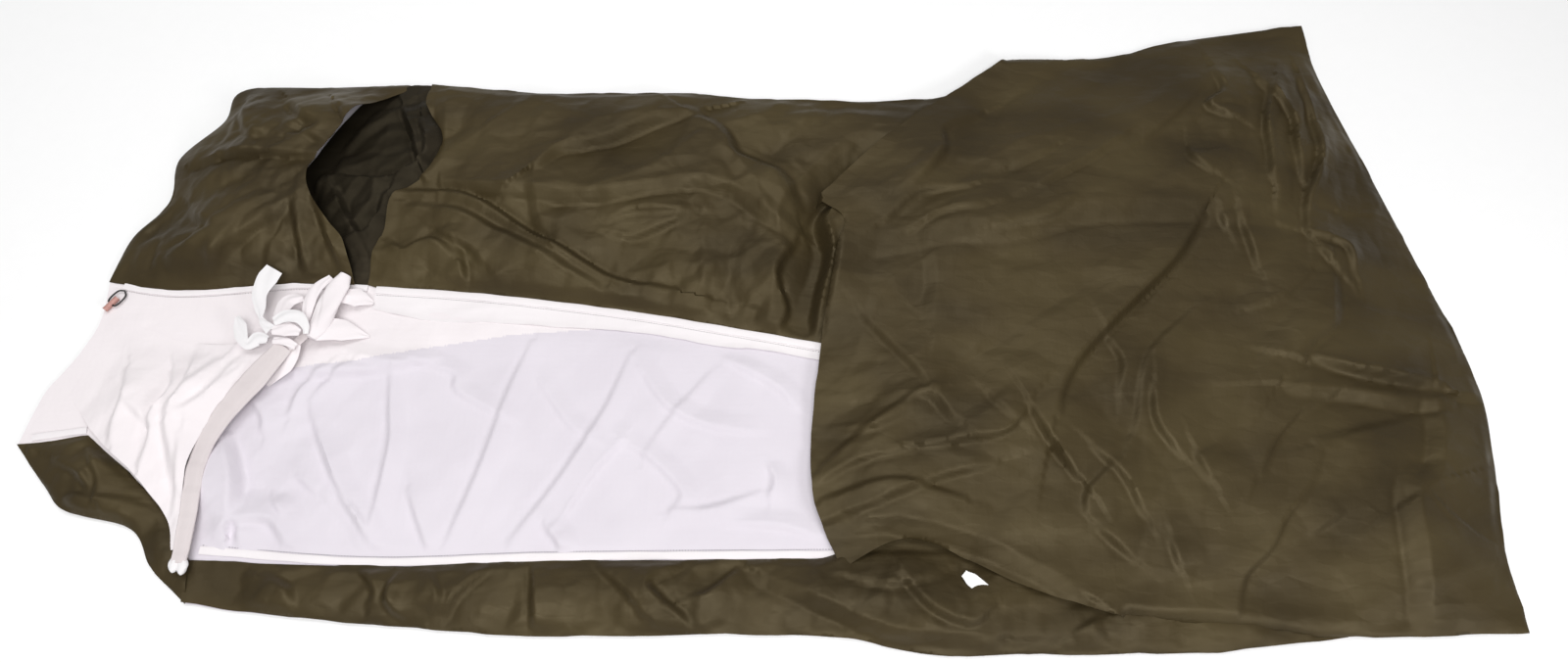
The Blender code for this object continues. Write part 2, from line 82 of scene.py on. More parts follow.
# Seam lines in plan, as in the CAD part
HEAD_RUN = [(-1.100, -0.235), (-1.080, -0.158), (-1.045, -0.090), (-1.024, -0.030), (-1.027, 0.037)]
HOOD_RUN = [(-1.027, 0.037), (-1.003, 0.120), (-0.958, 0.185), (-0.962, 0.265), (-0.902, 0.340),
            (-0.880, 0.405), (-0.726, 0.411), (-0.560, 0.418)]
FAR_RUN = [(-0.560, 0.418), (-0.357, 0.399), (-0.124, 0.399), (0.026, 0.386), (0.300, 0.389),
           (0.429, 0.469)]
COVER_FAR_RUN = [(0.429, 0.469), (0.600, 0.474), (0.725, 0.507), (0.953, 0.545)]
FOOT_RUN = [(0.953, 0.545), (0.960, 0.440), (1.010, 0.236), (1.053, 0.063), (1.098, -0.130),
            (1.094, -0.260), (1.077, -0.380), (1.082, -0.514)]
NEAR_RUN = [(1.082, -0.514), (0.829, -0.520), (0.630, -0.540), (0.380, -0.543), (0.245, -0.543),
            (0.074, -0.517), (-0.300, -0.518), (-0.479, -0.506), (-0.639, -0.493), (-0.800, -0.474)]
NEAR_HEAD_RUN = [(-0.800, -0.474), (-0.860, -0.419), (-0.901, -0.365), (-1.000, -0.338),
                 (-1.044, -0.298), (-1.100, -0.235)]
OPENING_FAR = [(-1.027, 0.037), (-0.905, 0.020), (-0.720, 0.034), (-0.600, 0.027), (-0.420, 0.013),
               (-0.200, -0.016), (0.000, -0.052), (0.200, -0.090), (0.420, -0.120)]
OPENING_NEAR = [(-0.795, -0.402), (-0.550, -0.419), (-0.300, -0.412), (0.000, -0.409), (0.250, -0.409),
                (0.480, -0.418), (0.660, -0.465), (0.800, -0.511)]
PIT_HOOD_SIDE = [(-0.592, 0.412), (-0.626, 0.380), (-0.660, 0.330), (-0.690, 0.270), (-0.718, 0.215),
                 (-0.708, 0.165), (-0.676, 0.120), (-0.648, 0.085), (-0.634, 0.031)]
PIT_BODY_SIDE = [(-0.560, 0.418), (-0.558, 0.356), (-0.528, 0.300), (-0.529, 0.250), (-0.556, 0.210),
                 (-0.592, 0.180), (-0.597, 0.126), (-0.610, 0.085), (-0.614, 0.030)]
MOUTH_FAR_EDGE = [(0.429, 0.469), (0.321, 0.382), (0.211, 0.290), (0.094, 0.168)]
MOUTH_EDGE = [(0.094, 0.168), (0.138, 0.128), (0.122, 0.065), (0.104, -0.050), (0.088, -0.180),
              (0.084, -0.310), (0.124, -0.428)]
MOUTH_NEAR_EDGE = [(0.124, -0.428), (0.195, -0.386), (0.250, -0.388), (0.300, -0.411), (0.400, -0.462),
                   (0.520, -0.497)]
COVER_NEAR_EDGE = [(0.520, -0.497), (0.720, -0.511), (0.829, -0.520), (1.082, -0.514)]
FLAP_NEAR_EDGE = [(-1.040, -0.160), (-0.982, -0.224), (-0.932, -0.266), (-0.888, -0.303), (-0.843, -0.356),
                  (-0.829, -0.400)]
FLAP_FAR_EDGE = [(-0.712, -0.060), (-0.793, -0.074), (-0.876, -0.070), (-0.944, -0.045), (-0.997, -0.025)]
HEAD_PANEL_TOP = [(-1.100, -0.235), (-1.054, -0.232), (-0.996, -0.222)]
WARM_LIT_PART = [(-1.20, 0.20), (-1.20, -0.50), (-0.81, -0.50), (-0.81, -0.20), (-0.74, -0.115), (-0.62, -0.105),
             (-0.50, -0.078), (-0.38, -0.056), (-0.25, -0.046), (-0.25, 0.200)]     # head end of the liner, given the pinkish cotton: painted warm light on the top left
HEAD_PANEL_SIDE = [(-0.996, -0.222), (-0.888, -0.308), (-0.842, -0.362), (-0.808, -0.410), (-0.800, -0.474)]

# Creases: (height, width, lean, points). With lean above 0 the slope is gentle on the left of the line, seen
# along its points, and steep on the right. A height below 0 is a valley.
COVER_CREASES = [
    (0.011, 0.060, 0.72, [(0.440, -0.205), (0.452, -0.165), (0.492, -0.103), (0.585, -0.008), (0.650, 0.055),
                          (0.700, 0.128)]),
    (0.005, 0.022, 0.50, [(0.560, -0.035), (0.630, 0.035), (0.690, 0.118)]),
    (0.008, 0.030, -0.60, [(0.403, -0.187), (0.366, -0.230), (0.310, -0.240), (0.245, -0.248)]),
    (0.010, 0.034, 0.65, [(0.403, -0.187), (0.430, -0.238), (0.466, -0.297)]),
    (0.004, 0.020, 0.60, [(0.352, -0.180), (0.380, -0.210)]),
    (0.006, 0.034, 0.40, [(0.190, -0.172), (0.258, -0.168), (0.298, -0.212)]),
    (0.005, 0.024, 0.50, [(0.248, -0.166), (0.168, -0.220), (0.100, -0.278)]),
    (0.006, 0.030, 0.40, [(0.098, -0.219), (0.178, -0.214), (0.246, -0.180)]),
    (0.010, 0.055, 0.30, [(0.088, -0.362), (0.195, -0.352), (0.312, -0.380), (0.410, -0.428), (0.450, -0.456)]),
    (0.007, 0.030, 0.45, [(0.090, -0.358), (0.168, -0.332), (0.265, -0.294), (0.345, -0.274)]),
    (0.005, 0.022, 0.40, [(0.090, -0.300), (0.150, -0.268), (0.230, -0.252)]),
    (0.005, 0.022, -0.40, [(0.100, -0.330), (0.200, -0.305), (0.300, -0.330)]),
    (-0.012, 0.045, 0.55, [(1.028, -0.158), (0.950, -0.152), (0.885, -0.142), (0.832, -0.126)]),
    (0.009, 0.060, -0.55, [(1.035, -0.172), (0.955, -0.172), (0.880, -0.163), (0.800, -0.160)]),
    (0.008, 0.050, 0.50, [(0.792, -0.135), (0.830, -0.085), (0.875, -0.045), (0.890, 0.030)]),
    (0.009, 0.062, 0.25, [(0.985, -0.302), (0.950, -0.318), (0.944, -0.400), (0.946, -0.505)]),
    (0.008, 0.050, 0.30, [(1.020, -0.165), (1.012, -0.235), (0.985, -0.298), (0.955, -0.320)]),
    (0.004, 0.030, 0.30, [(1.000, -0.200), (0.920, -0.225), (0.820, -0.250)]),
    (0.003, 0.022, 0.50, [(0.690, -0.018), (0.610, -0.088), (0.580, -0.136), (0.562, -0.215), (0.542, -0.254)]),
    (0.004, 0.026, 0.50, [(0.530, -0.068), (0.551, -0.118), (0.540, -0.172)]),
    (0.006, 0.030, 0.60, [(0.592, -0.160), (0.590, -0.215), (0.620, -0.265)]),
    (0.005, 0.026, 0.60, [(0.640, -0.262), (0.655, -0.302)]),
    (0.006, 0.022, 0.60, [(0.492, -0.255), (0.520, -0.282), (0.542, -0.313), (0.556, -0.352)]),
    (0.004, 0.018, 0.50, [(0.520, -0.282), (0.480, -0.322), (0.476, -0.352)]),
    (0.005, 0.020, 0.60, [(0.490, -0.372), (0.515, -0.395), (0.536, -0.415)]),
    (0.004, 0.018, 0.50, [(0.590, -0.390), (0.600, -0.430)]),
    (0.005, 0.026, -0.50, [(0.853, -0.172), (0.805, -0.195), (0.786, -0.210), (0.755, -0.244), (0.726, -0.293)]),
    (0.005, 0.026, -0.50, [(0.805, -0.293), (0.785, -0.322), (0.750, -0.361), (0.726, -0.400), (0.686, -0.440),
                           (0.668, -0.498)]),
    (0.003, 0.020, -0.40, [(0.835, -0.350), (0.785, -0.380)]),
    (0.005, 0.022, 0.55, [(0.450, 0.188), (0.490, 0.212), (0.540, 0.242), (0.600, 0.285)]),
    (0.004, 0.020, 0.50, [(0.412, 0.226), (0.480, 0.260)]),
    (0.004, 0.022, 0.50, [(0.628, 0.275), (0.668, 0.310), (0.728, 0.368)]),
    (0.007, 0.090, 0.35, [(0.140, 0.096), (0.295, 0.120), (0.392, 0.124), (0.500, 0.152), (0.590, 0.158),
                          (0.698, 0.154), (0.785, 0.154), (0.880, 0.150)]),
    (0.005, 0.018, 0.40, [(0.375, 0.110), (0.412, 0.119), (0.462, 0.130), (0.492, 0.150)]),
    (0.006, 0.026, 0.30, [(0.137, 0.105), (0.128, 0.040), (0.112, -0.030)]),
    (0.004, 0.026, 0.40, [(0.162, -0.028), (0.236, -0.118), (0.262, -0.160)]),
    (0.003, 0.040, 0.30, [(0.270, 0.105), (0.280, 0.030), (0.270, -0.055)]),
    (0.008, 0.024, 0.60, [(0.775, 0.430), (0.782, 0.380), (0.750, 0.350), (0.782, 0.325)]),
    (0.007, 0.024, 0.60, [(0.703, 0.255), (0.706, 0.236), (0.730, 0.212)]),
    (0.009, 0.026, 0.55, [(0.868, 0.400), (0.852, 0.352), (0.840, 0.312), (0.835, 0.255), (0.828, 0.198)]),
    (0.009, 0.028, 0.55, [(0.845, 0.405), (0.888, 0.328), (0.882, 0.275), (0.878, 0.200)]),
    (0.008, 0.026, 0.55, [(0.920, 0.420), (0.925, 0.330), (0.915, 0.240), (0.878, 0.158), (0.868, 0.106)]),
    (0.006, 0.022, 0.55, [(0.868, 0.102), (0.922, 0.082), (0.932, 0.030)]),
    (0.006, 0.022, 0.55, [(0.882, 0.072), (0.908, 0.030)]),
    (0.006, 0.020, 0.60, [(0.764, 0.140), (0.775, 0.080), (0.780, 0.040)]),
    (0.005, 0.018, 0.60, [(0.735, 0.135), (0.742, 0.108)]),
    (0.005, 0.024, 0.40, [(0.755, -0.030), (0.805, -0.010), (0.855, 0.030)]),
    (0.006, 0.030, 0.40, [(0.220, 0.180), (0.262, 0.205), (0.300, 0.260), (0.305, 0.305), (0.368, 0.342)]),
    (0.006, 0.022, 0.40, [(0.200, 0.125), (0.262, 0.180), (0.340, 0.190)]),
    (0.004, 0.020, 0.40, [(0.240, 0.110), (0.292, 0.142), (0.360, 0.150)]),
]
COVER_CRUMPLES = [        # (size, height, angle, stretch, seed, where it is strongest: x, y, radius)
    (0.170, 0.0110, 0.6, 1.6, 3, None),
    (0.070, 0.0022, 0.5, 1.4, 8, None),
    (0.075, 0.0060, 0.3, 1.5, 5, (0.18, -0.27, 0.17)),
    (0.035, 0.0022, 0.2, 1.3, 9, (0.18, -0.25, 0.20)),
    (0.060, 0.0060, 1.4, 1.8, 12, (0.90, 0.26, 0.17)),
    (0.030, 0.0026, 1.3, 1.5, 14, (0.90, 0.25, 0.16)),
    (0.050, 0.0032, 0.6, 1.4, 17, (0.27, 0.20, 0.13)),
    (0.045, 0.0026, 1.1, 1.5, 19, (0.55, -0.30, 0.13)),
]
FAR_CREASES = [
    (0.013, 0.050, -0.65, [(-0.592, 0.187), (-0.494, 0.182), (-0.424, 0.150), (-0.355, 0.104), (-0.296, 0.070),
                           (-0.217, 0.026), (-0.128, 0.010)]),
    (-0.008, 0.024, 0.20, [(-0.560, 0.172), (-0.480, 0.158), (-0.400, 0.118), (-0.330, 0.078), (-0.240, 0.024)]),
    (0.010, 0.045, 0.30, [(-0.525, 0.210), (-0.395, 0.192), (-0.276, 0.182), (-0.197, 0.192), (-0.099, 0.207),
                          (-0.030, 0.187), (0.030, 0.138), (0.075, 0.108)]),
    (0.011, 0.060, 0.60, [(-0.360, 0.235), (-0.325, 0.271), (-0.247, 0.296), (-0.168, 0.335), (-0.099, 0.355)]),
    (0.009, 0.040, -0.40, [(-0.118, 0.346), (-0.060, 0.296), (-0.040, 0.257), (0.000, 0.236), (0.040, 0.207),
                           (0.060, 0.158)]),
    (0.006, 0.026, 0.50, [(-0.240, 0.138), (-0.197, 0.152), (-0.108, 0.152)]),
    (0.006, 0.024, 0.50, [(-0.235, 0.113), (-0.197, 0.108), (-0.148, 0.128), (-0.100, 0.148)]),
    (0.006, 0.024, -0.50, [(-0.472, 0.079), (-0.462, 0.030), (-0.482, 0.010)]),
    (0.005, 0.020, 0.50, [(-0.500, 0.110), (-0.452, 0.085), (-0.430, 0.060)]),
    (0.006, 0.050, 0.40, [(-0.528, 0.385), (-0.520, 0.300), (-0.518, 0.235)]),
    (0.005, 0.040, 0.40, [(-0.360, 0.200), (-0.350, 0.150), (-0.340, 0.120)]),
    (0.004, 0.040, -0.30, [(0.060, 0.330), (0.140, 0.345), (0.250, 0.330)]),
    (0.008, 0.026, -0.40, [(-0.590, 0.100), (-0.560, 0.080), (-0.520, 0.095), (-0.480, 0.070)]),
    (-0.022, 0.032, 0.10, [(0.070, -0.070), (0.082, 0.000), (0.100, 0.080), (0.095, 0.150), (0.180, 0.250)]),
    (0.010, 0.026, 0.60, [(0.020, -0.060), (0.045, -0.020), (0.030, 0.040), (0.060, 0.100)]),
]
FAR_CRUMPLES = [
    (0.150, 0.0150, 0.4, 1.5, 23, None),
    (0.060, 0.0045, 0.8, 1.3, 25, None),
    (0.050, 0.0070, 1.2, 1.3, 27, (-0.08, 0.02, 0.14)),
    (0.028, 0.0026, 1.1, 1.3, 29, (-0.07, 0.02, 0.13)),
    (0.055, 0.0060, 0.2, 1.4, 31, (-0.52, 0.07, 0.11)),
    (0.045, 0.0045, 2.2, 1.6, 33, (0.00, 0.20, 0.12)),
]
HOOD_CREASES = [
    (0.010, 0.045, 0.70, [(-0.930, 0.245), (-0.855, 0.250), (-0.795, 0.249), (-0.738, 0.244), (-0.700, 0.240)]),
    (0.010, 0.045, 0.50, [(-0.790, 0.372), (-0.745, 0.325), (-0.712, 0.298), (-0.755, 0.270)]),
    (0.010, 0.030, 0.50, [(-0.700, 0.352), (-0.677, 0.322), (-0.658, 0.275), (-0.645, 0.255)]),
    (0.007, 0.026, 0.50, [(-0.735, 0.285), (-0.697, 0.264)]),
    (0.010, 0.050, -0.50, [(-0.938, 0.060), (-0.880, 0.082), (-0.845, 0.108), (-0.780, 0.160)]),
    (0.010, 0.030, 0.50, [(-0.700, 0.165), (-0.676, 0.105), (-0.640, 0.030)]),
    (0.009, 0.032, 0.50, [(-0.728, 0.150), (-0.715, 0.070), (-0.695, 0.010)]),
    (0.010, 0.036, -0.50, [(-0.755, 0.140), (-0.825, 0.085), (-0.875, 0.028)]),
    (0.008, 0.030, -0.50, [(-0.815, 0.118), (-0.855, 0.048)]),
    (0.009, 0.040, 0.50, [(-0.905, 0.155), (-0.875, 0.128), (-0.835, 0.122), (-0.775, 0.165)]),
    (0.006, 0.026, 0.40, [(-0.760, 0.095), (-0.770, 0.055), (-0.755, 0.035)]),
    (0.006, 0.030, 0.40, [(-0.860, 0.360), (-0.840, 0.300), (-0.800, 0.285)]),
]
HOOD_CRUMPLES = [
    (0.110, 0.0150, 0.4, 1.4, 41, None),
    (0.050, 0.0060, 0.9, 1.4, 43, None),
    (0.050, 0.0080, 1.2, 1.6, 45, (-0.76, 0.06, 0.12)),
    (0.025, 0.0025, 1.1, 1.4, 47, None),
]
PIT_CREASES = [
    (0.012, 0.030, 0.60, [(-0.560, 0.330), (-0.545, 0.270), (-0.590, 0.225), (-0.640, 0.215), (-0.690, 0.225)]),
    (0.012, 0.030, 0.60, [(-0.600, 0.365), (-0.575, 0.310), (-0.555, 0.250)]),
    (0.010, 0.024, 0.60, [(-0.600, 0.185), (-0.620, 0.130), (-0.655, 0.105)]),
    (0.008, 0.020, -0.60, [(-0.690, 0.200), (-0.665, 0.150), (-0.630, 0.100)]),
]
PIT_CRUMPLES = [
    (0.060, 0.0130, 0.9, 1.5, 51, None),
    (0.035, 0.0050, 0.4, 1.4, 53, None),
]
NEAR_CREASES = [
    (-0.010, 0.034, 0.40, [(-0.775, -0.395), (-0.786, -0.430), (-0.790, -0.480)]),
    (0.006, 0.024, 0.50, [(-0.560, -0.420), (-0.530, -0.455), (-0.535, -0.480)]),
    (0.006, 0.022, 0.50, [(-0.500, -0.430), (-0.510, -0.470), (-0.480, -0.500)]),
    (0.005, 0.020, -0.50, [(-0.460, -0.430), (-0.440, -0.465), (-0.450, -0.490)]),
    (0.007, 0.026, -0.50, [(-0.380, -0.425), (-0.420, -0.465), (-0.430, -0.490)]),
    (0.008, 0.036, 0.60, [(-0.310, -0.420), (-0.305, -0.465), (-0.302, -0.510)]),
    (0.006, 0.026, 0.50, [(-0.220, -0.420), (-0.180, -0.455), (-0.150, -0.490)]),
    (0.008, 0.028, -0.50, [(-0.110, -0.420), (-0.150, -0.450), (-0.095, -0.500)]),
    (0.007, 0.026, 0.50, [(-0.020, -0.425), (-0.060, -0.460), (-0.090, -0.470)]),
    (0.006, 0.030, -0.40, [(-0.690, -0.440), (-0.660, -0.455), (-0.650, -0.475)]),
    (0.009, 0.050, 0.40, [(0.020, -0.435), (0.100, -0.470), (0.200, -0.510), (0.330, -0.520)]),
    (0.006, 0.026, 0.40, [(0.150, -0.440), (0.200, -0.445), (0.260, -0.430)]),
    (0.007, 0.026, 0.40, [(0.210, -0.430), (0.250, -0.480), (0.300, -0.500), (0.330, -0.480)]),
    (0.005, 0.022, 0.40, [(0.480, -0.500), (0.440, -0.520)]),
]
NEAR_CRUMPLES = [
    (0.080, 0.0060, 0.9, 1.3, 61, None),
    (0.040, 0.0040, 0.5, 1.3, 63, None),
    (0.045, 0.0050, 1.3, 1.3, 65, (0.22, -0.47, 0.14)),
    (0.040, 0.0040, 1.5, 1.3, 67, (-0.10, -0.46, 0.12)),
]
HEAD_CREASES = [
    (0.006, 0.026, 0.50, [(-1.030, -0.262), (-0.985, -0.285), (-0.965, -0.310)]),
    (0.005, 0.022, 0.50, [(-0.985, -0.245), (-0.955, -0.290), (-0.955, -0.315)]),
    (0.006, 0.030, -0.40, [(-1.010, -0.320), (-0.960, -0.325), (-0.900, -0.330)]),
]
HEAD_CRUMPLES = [
    (0.060, 0.0060, 0.9, 1.3, 71, None),
    (0.030, 0.0020, 0.5, 1.3, 73, None),
]
LINER_CREASES = [
    (0.0050, 0.016, 0.10, [(-0.668, -0.178), (-0.640, -0.240), (-0.605, -0.305), (-0.560, -0.365), (-0.534, -0.398)]),
    (0.0025, 0.010, -0.30, [(-0.628, -0.300), (-0.575, -0.350), (-0.548, -0.398)]),
    (0.0045, 0.012, 0.20, [(-0.556, -0.120), (-0.550, -0.170), (-0.542, -0.235), (-0.548, -0.310), (-0.552, -0.360)]),
    (0.0040, 0.014, 0.40, [(-0.504, -0.305), (-0.488, -0.345), (-0.465, -0.395)]),
    (0.0035, 0.014, 0.30, [(-0.345, -0.070), (-0.372, -0.150), (-0.400, -0.260), (-0.445, -0.400)]),
    (0.0035, 0.014, 0.30, [(-0.190, -0.090), (-0.225, -0.180), (-0.285, -0.290), (-0.350, -0.385)]),
    (0.0035, 0.014, -0.30, [(-0.195, -0.225), (-0.240, -0.280), (-0.285, -0.360)]),
    (0.0030, 0.014, 0.20, [(-0.178, -0.110), (-0.130, -0.175), (-0.070, -0.205), (0.000, -0.215)]),
    (0.0030, 0.014, 0.20, [(-0.200, -0.228), (-0.150, -0.260), (-0.105, -0.310), (-0.120, -0.340)]),
    (0.0028, 0.012, 0.30, [(-0.520, -0.100), (-0.460, -0.120), (-0.450, -0.150), (-0.370, -0.195)]),
    (0.0028, 0.012, 0.30, [(-0.620, -0.090), (-0.560, -0.105), (-0.500, -0.100)]),
    (0.0050, 0.016, 0.20, [(-0.300, -0.360), (-0.280, -0.385), (-0.275, -0.405)]),
    (0.0030, 0.012, 0.30, [(-0.050, -0.095), (0.030, -0.140), (0.060, -0.175)]),
    (0.0030, 0.012, -0.30, [(-0.120, -0.340), (-0.060, -0.335), (0.010, -0.310)]),
    (0.0030, 0.012, 0.30, [(-0.040, -0.355), (0.040, -0.360), (0.090, -0.375)]),
    (0.0040, 0.014, 0.20, [(0.020, -0.265), (0.030, -0.290), (0.024, -0.320)]),
    (0.0020, 0.012, 0.30, [(-0.060, -0.110), (-0.130, -0.200), (-0.165, -0.260)]),
    (0.0022, 0.012, 0.30, [(-0.330, -0.130), (-0.280, -0.200), (-0.240, -0.230)]),
    (0.0120, 0.060, -0.60, [(-0.790, -0.230), (-0.765, -0.290), (-0.760, -0.345)]),
    (0.0060, 0.022, 0.20, [(-0.775, -0.370), (-0.745, -0.350), (-0.700, -0.350), (-0.670, -0.385)]),
    (0.0050, 0.020, 0.30, [(-0.745, -0.350), (-0.740, -0.385)]),
    (0.0040, 0.018, 0.30, [(-0.765, -0.160), (-0.740, -0.190), (-0.735, -0.215)]),
    (0.0045, 0.018, 0.30, [(-0.660, -0.115), (-0.690, -0.150), (-0.700, -0.190)]),
    (0.0040, 0.018, 0.30, [(-0.625, -0.110), (-0.665, -0.155)]),
    (0.0035, 0.016, 0.30, [(-0.700, -0.320), (-0.680, -0.345)]),
    (0.0035, 0.016, 0.30, [(-0.670, -0.285), (-0.640, -0.310)]),
    (0.0060, 0.030, 0.40, [(-0.700, -0.120), (-0.620, -0.118), (-0.540, -0.108)]),
]
LINER_CRUMPLES = [
    (0.170, 0.0024, 0.5, 1.4, 81, None),
    (0.070, 0.0030, 0.8, 1.3, 83, (-0.71, -0.26, 0.13)),
    (0.035, 0.0014, 0.6, 1.3, 85, (-0.71, -0.24, 0.13)),
    (0.060, 0.0013, 1.1, 1.3, 87, None),
]
FLAP_CREASES = [
    (0.0070, 0.026, 0.40, [(-0.956, -0.118), (-0.948, -0.158), (-0.954, -0.208), (-0.951, -0.238)]),
    (0.0090, 0.030, 0.55, [(-0.886, -0.122), (-0.879, -0.148), (-0.896, -0.198), (-0.891, -0.228), (-0.899, -0.272)]),
    (0.0045, 0.018, 0.40, [(-0.940, -0.172), (-0.901, -0.206)]),
    (0.0060, 0.022, 0.40, [(-0.861, -0.092), (-0.856, -0.128), (-0.862, -0.160)]),
    (0.0080, 0.034, 0.45, [(-0.821, -0.108), (-0.861, -0.168), (-0.866, -0.208), (-0.846, -0.278), (-0.832, -0.310)]),
    (0.0060, 0.026, 0.40, [(-0.800, -0.138), (-0.831, -0.178), (-0.858, -0.198)]),
    (0.0050, 0.022, 0.40, [(-0.842, -0.230), (-0.838, -0.290), (-0.834, -0.350)]),
    (0.0040, 0.022, 0.30, [(-0.780, -0.100), (-0.800, -0.125), (-0.815, -0.160)]),
]
FLAP_CRUMPLES = [
    (0.090, 0.0050, 1.2, 1.8, 91, None),
    (0.045, 0.0016, 1.0, 1.5, 93, None),
]

# Drawstring casing: x, y and z along its middle line
CASING_ROUTE = [(-0.812, -0.420, 0.0226), (-0.813, -0.353, 0.0232), (-0.815, -0.270, 0.0240),
                (-0.795, -0.203, 0.0250), (-0.750, -0.131, 0.0262), (-0.719, -0.086, 0.0280)]
ROLL_ROUTE = [(-0.680, -0.072, 0.0290), (-0.670, -0.046, 0.0290), (-0.661, -0.014, 0.0280),
              (-0.654, 0.012, 0.0270), (-0.645, 0.038, 0.0265)]

# Tape ends, folds of the knot and loose folds beside it: name, body, CAD nodes, look, height of the cup across,
# middle line, and widths along it
TAPES = [
    ("tie_tape_long_end", "tie_tape_long", ["tie_tape_long"], "tape", 0.0009,
     [(-0.760, -0.041, 0.0350), (-0.765, -0.020, 0.0340), (-0.769, 0.000, 0.0350), (-0.763, 0.020, 0.0380),
      (-0.751, 0.041, 0.0410)], [0.005, 0.017, 0.022, 0.028, 0.034, 0.030]),
    ("tie_tape_long_root", "neck_flap", [], "tape", 0.0008,
     [(-0.762, -0.038, 0.0345), (-0.753, -0.050, 0.0360), (-0.740, -0.062, 0.0370)], [0.005, 0.012, 0.018]),
    ("tie_tape_short_end", "tie_tape_short", ["tie_tape_short"], "tape", 0.0010,
     [(-0.742, -0.078, 0.0360), (-0.757, -0.076, 0.0355), (-0.772, -0.086, 0.0340), (-0.783, -0.074, 0.0335),
      (-0.790, -0.055, 0.0320), (-0.799, -0.036, 0.0300)], [0.012, 0.025, 0.013, 0.020, 0.020, 0.005]),
    ("tie_tape_bow_loop", "tie_tape_bow", ["tie_tape_bow"], "tape", 0.0010,
     [(-0.736, -0.050, 0.0410), (-0.718, -0.042, 0.0440), (-0.698, -0.044, 0.0440), (-0.686, -0.058, 0.0420),
      (-0.684, -0.070, 0.0400)], [0.014, 0.021, 0.021, 0.014, 0.008]),
    ("tie_tape_bow_under", "tie_tape_bow", [], "warm_lit", 0.0015,
     [(-0.737, -0.064, 0.0385), (-0.715, -0.062, 0.0390), (-0.694, -0.067, 0.0385)], [0.012, 0.025, 0.010]),
    ("knot_fold", "neck_flap", [], "warm_lit", 0.0018,
     [(-0.735, -0.078, 0.0330), (-0.716, -0.080, 0.0345), (-0.699, -0.088, 0.0320)], [0.010, 0.014, 0.010]),
    ("neck_fold_head_side", "neck_flap", [], "warm_lit", 0.0022,
     [(-0.706, 0.000, 0.0220), (-0.727, -0.008, 0.0250), (-0.734, -0.032, 0.0275), (-0.731, -0.056, 0.0310)],
     [0.012, 0.024, 0.020, 0.012]),
    ("neck_fold_side", "neck_flap", [], "warm_lit", 0.0022,
     [(-0.694, -0.040, 0.0260), (-0.692, -0.010, 0.0290), (-0.684, 0.014, 0.0290), (-0.666, 0.034, 0.0270)],
     [0.012, 0.020, 0.018, 0.010]),
    ("neck_fold_body_side", "neck_flap", [], "warm_lit", 0.0025,
     [(-0.672, -0.056, 0.0290), (-0.640, -0.055, 0.0220), (-0.598, -0.061, 0.0090)], [0.040, 0.035, 0.003]),
    ("neck_fold_hem_side", "neck_flap", [], "warm_lit", 0.0022,
     [(-0.650, 0.002, 0.0240), (-0.624, 0.003, 0.0170), (-0.600, -0.003, 0.0095)], [0.020, 0.032, 0.005]),
    ("neck_fold_liner_side", "neck_flap", [], "warm_lit", 0.0022,
     [(-0.706, -0.080, 0.0270), (-0.714, -0.104, 0.0200), (-0.742, -0.142, 0.0100)], [0.026, 0.032, 0.010]),
]


# Plane curves and areas

def spline(points, step=0.006):
    """A smooth line through the points, as an array with a row about every step."""
    knots = np.array(points, float)
    knots = np.vstack([2 * knots[0] - knots[1], knots, 2 * knots[-1] - knots[-2]])
    rows = [knots[1]]
    for a, b, c, d in zip(knots, knots[1:], knots[2:], knots[3:]):
        pieces = max(1, int(round(np.linalg.norm(c - b) / step)))
        for t in np.arange(1, pieces + 1) / pieces:
            rows.append(0.5 * (2 * b + (c - a) * t + (2 * a - 5 * b + 4 * c - d) * t ** 2
                               + (3 * b - a - 3 * c + d) * t ** 3))
    return np.array(rows)


def loop(*runs, step=0.006):
    """A closed outline from drawn runs, each smooth in itself, that meet at corners; cut cloth is never quite even."""
    rows = []
    for drawn in runs:
        for point in spline(drawn, step):
            if not rows or np.linalg.norm(point - rows[-1]) > step / 3:
                rows.append(point)
    if np.linalg.norm(rows[0] - rows[-1]) < step / 3:
        rows.pop()
    rows = np.array(rows)
    sway = [crumple(rows, 0.07, EDGE_SWAY, 0.3, 1.0, seed) for seed in (201, 205)]
    return rows + np.stack(sway, 1)


def between(line, low, high):
    """The part of a line of drawn points whose x lies in a range."""
    fine = spline(line)
    return [tuple(p) for p in fine if low < p[0] < high]


def is_inside(points, outline):
    """Which points lie inside a closed outline."""
    x, y = points[:, 0], points[:, 1]
    found = np.zeros(len(points), bool)
    for (ax, ay), (bx, by) in zip(outline, np.roll(outline, -1, 0)):
        if ay != by:
            crossing = (ay > y) != (by > y)
            found ^= crossing & (x < (bx - ax) * (y - ay) / (by - ay) + ax)
    return found


def to_line(points, line):
    """Each point's distance to an open line, its share of the way along it, and the side it is on."""
    starts, ends = line[:-1], line[1:]
    lengths = np.linalg.norm(ends - starts, axis=1)
    before = np.concatenate([[0], np.cumsum(lengths)])
    best = np.full(len(points), 1e9)
    along = np.zeros(len(points))
    side = np.zeros(len(points))
    for start, end, length, passed in zip(starts, ends, lengths, before):
        way = (end - start) / length
        offset = points - start
        t = np.clip(offset @ way, 0, length)
        distance = np.linalg.norm(offset - t[:, None] * way, axis=1)
        nearer = distance < best
        best[nearer] = distance[nearer]
        along[nearer] = ((passed + t) / before[-1])[nearer]
        side[nearer] = (way[0] * offset[:, 1] - way[1] * offset[:, 0])[nearer]
    return best, along, np.sign(side)


def to_edge(points, *lines):
    """Each point's distance to the nearest of some lines."""
    return np.min([to_line(points, np.array(line))[0] for line in lines], axis=0)


def rise(x):
    """From 0 to 1, level at both ends."""
    x = np.clip(x, 0, 1)
    return x * x * (3 - 2 * x)


# Folds in cloth

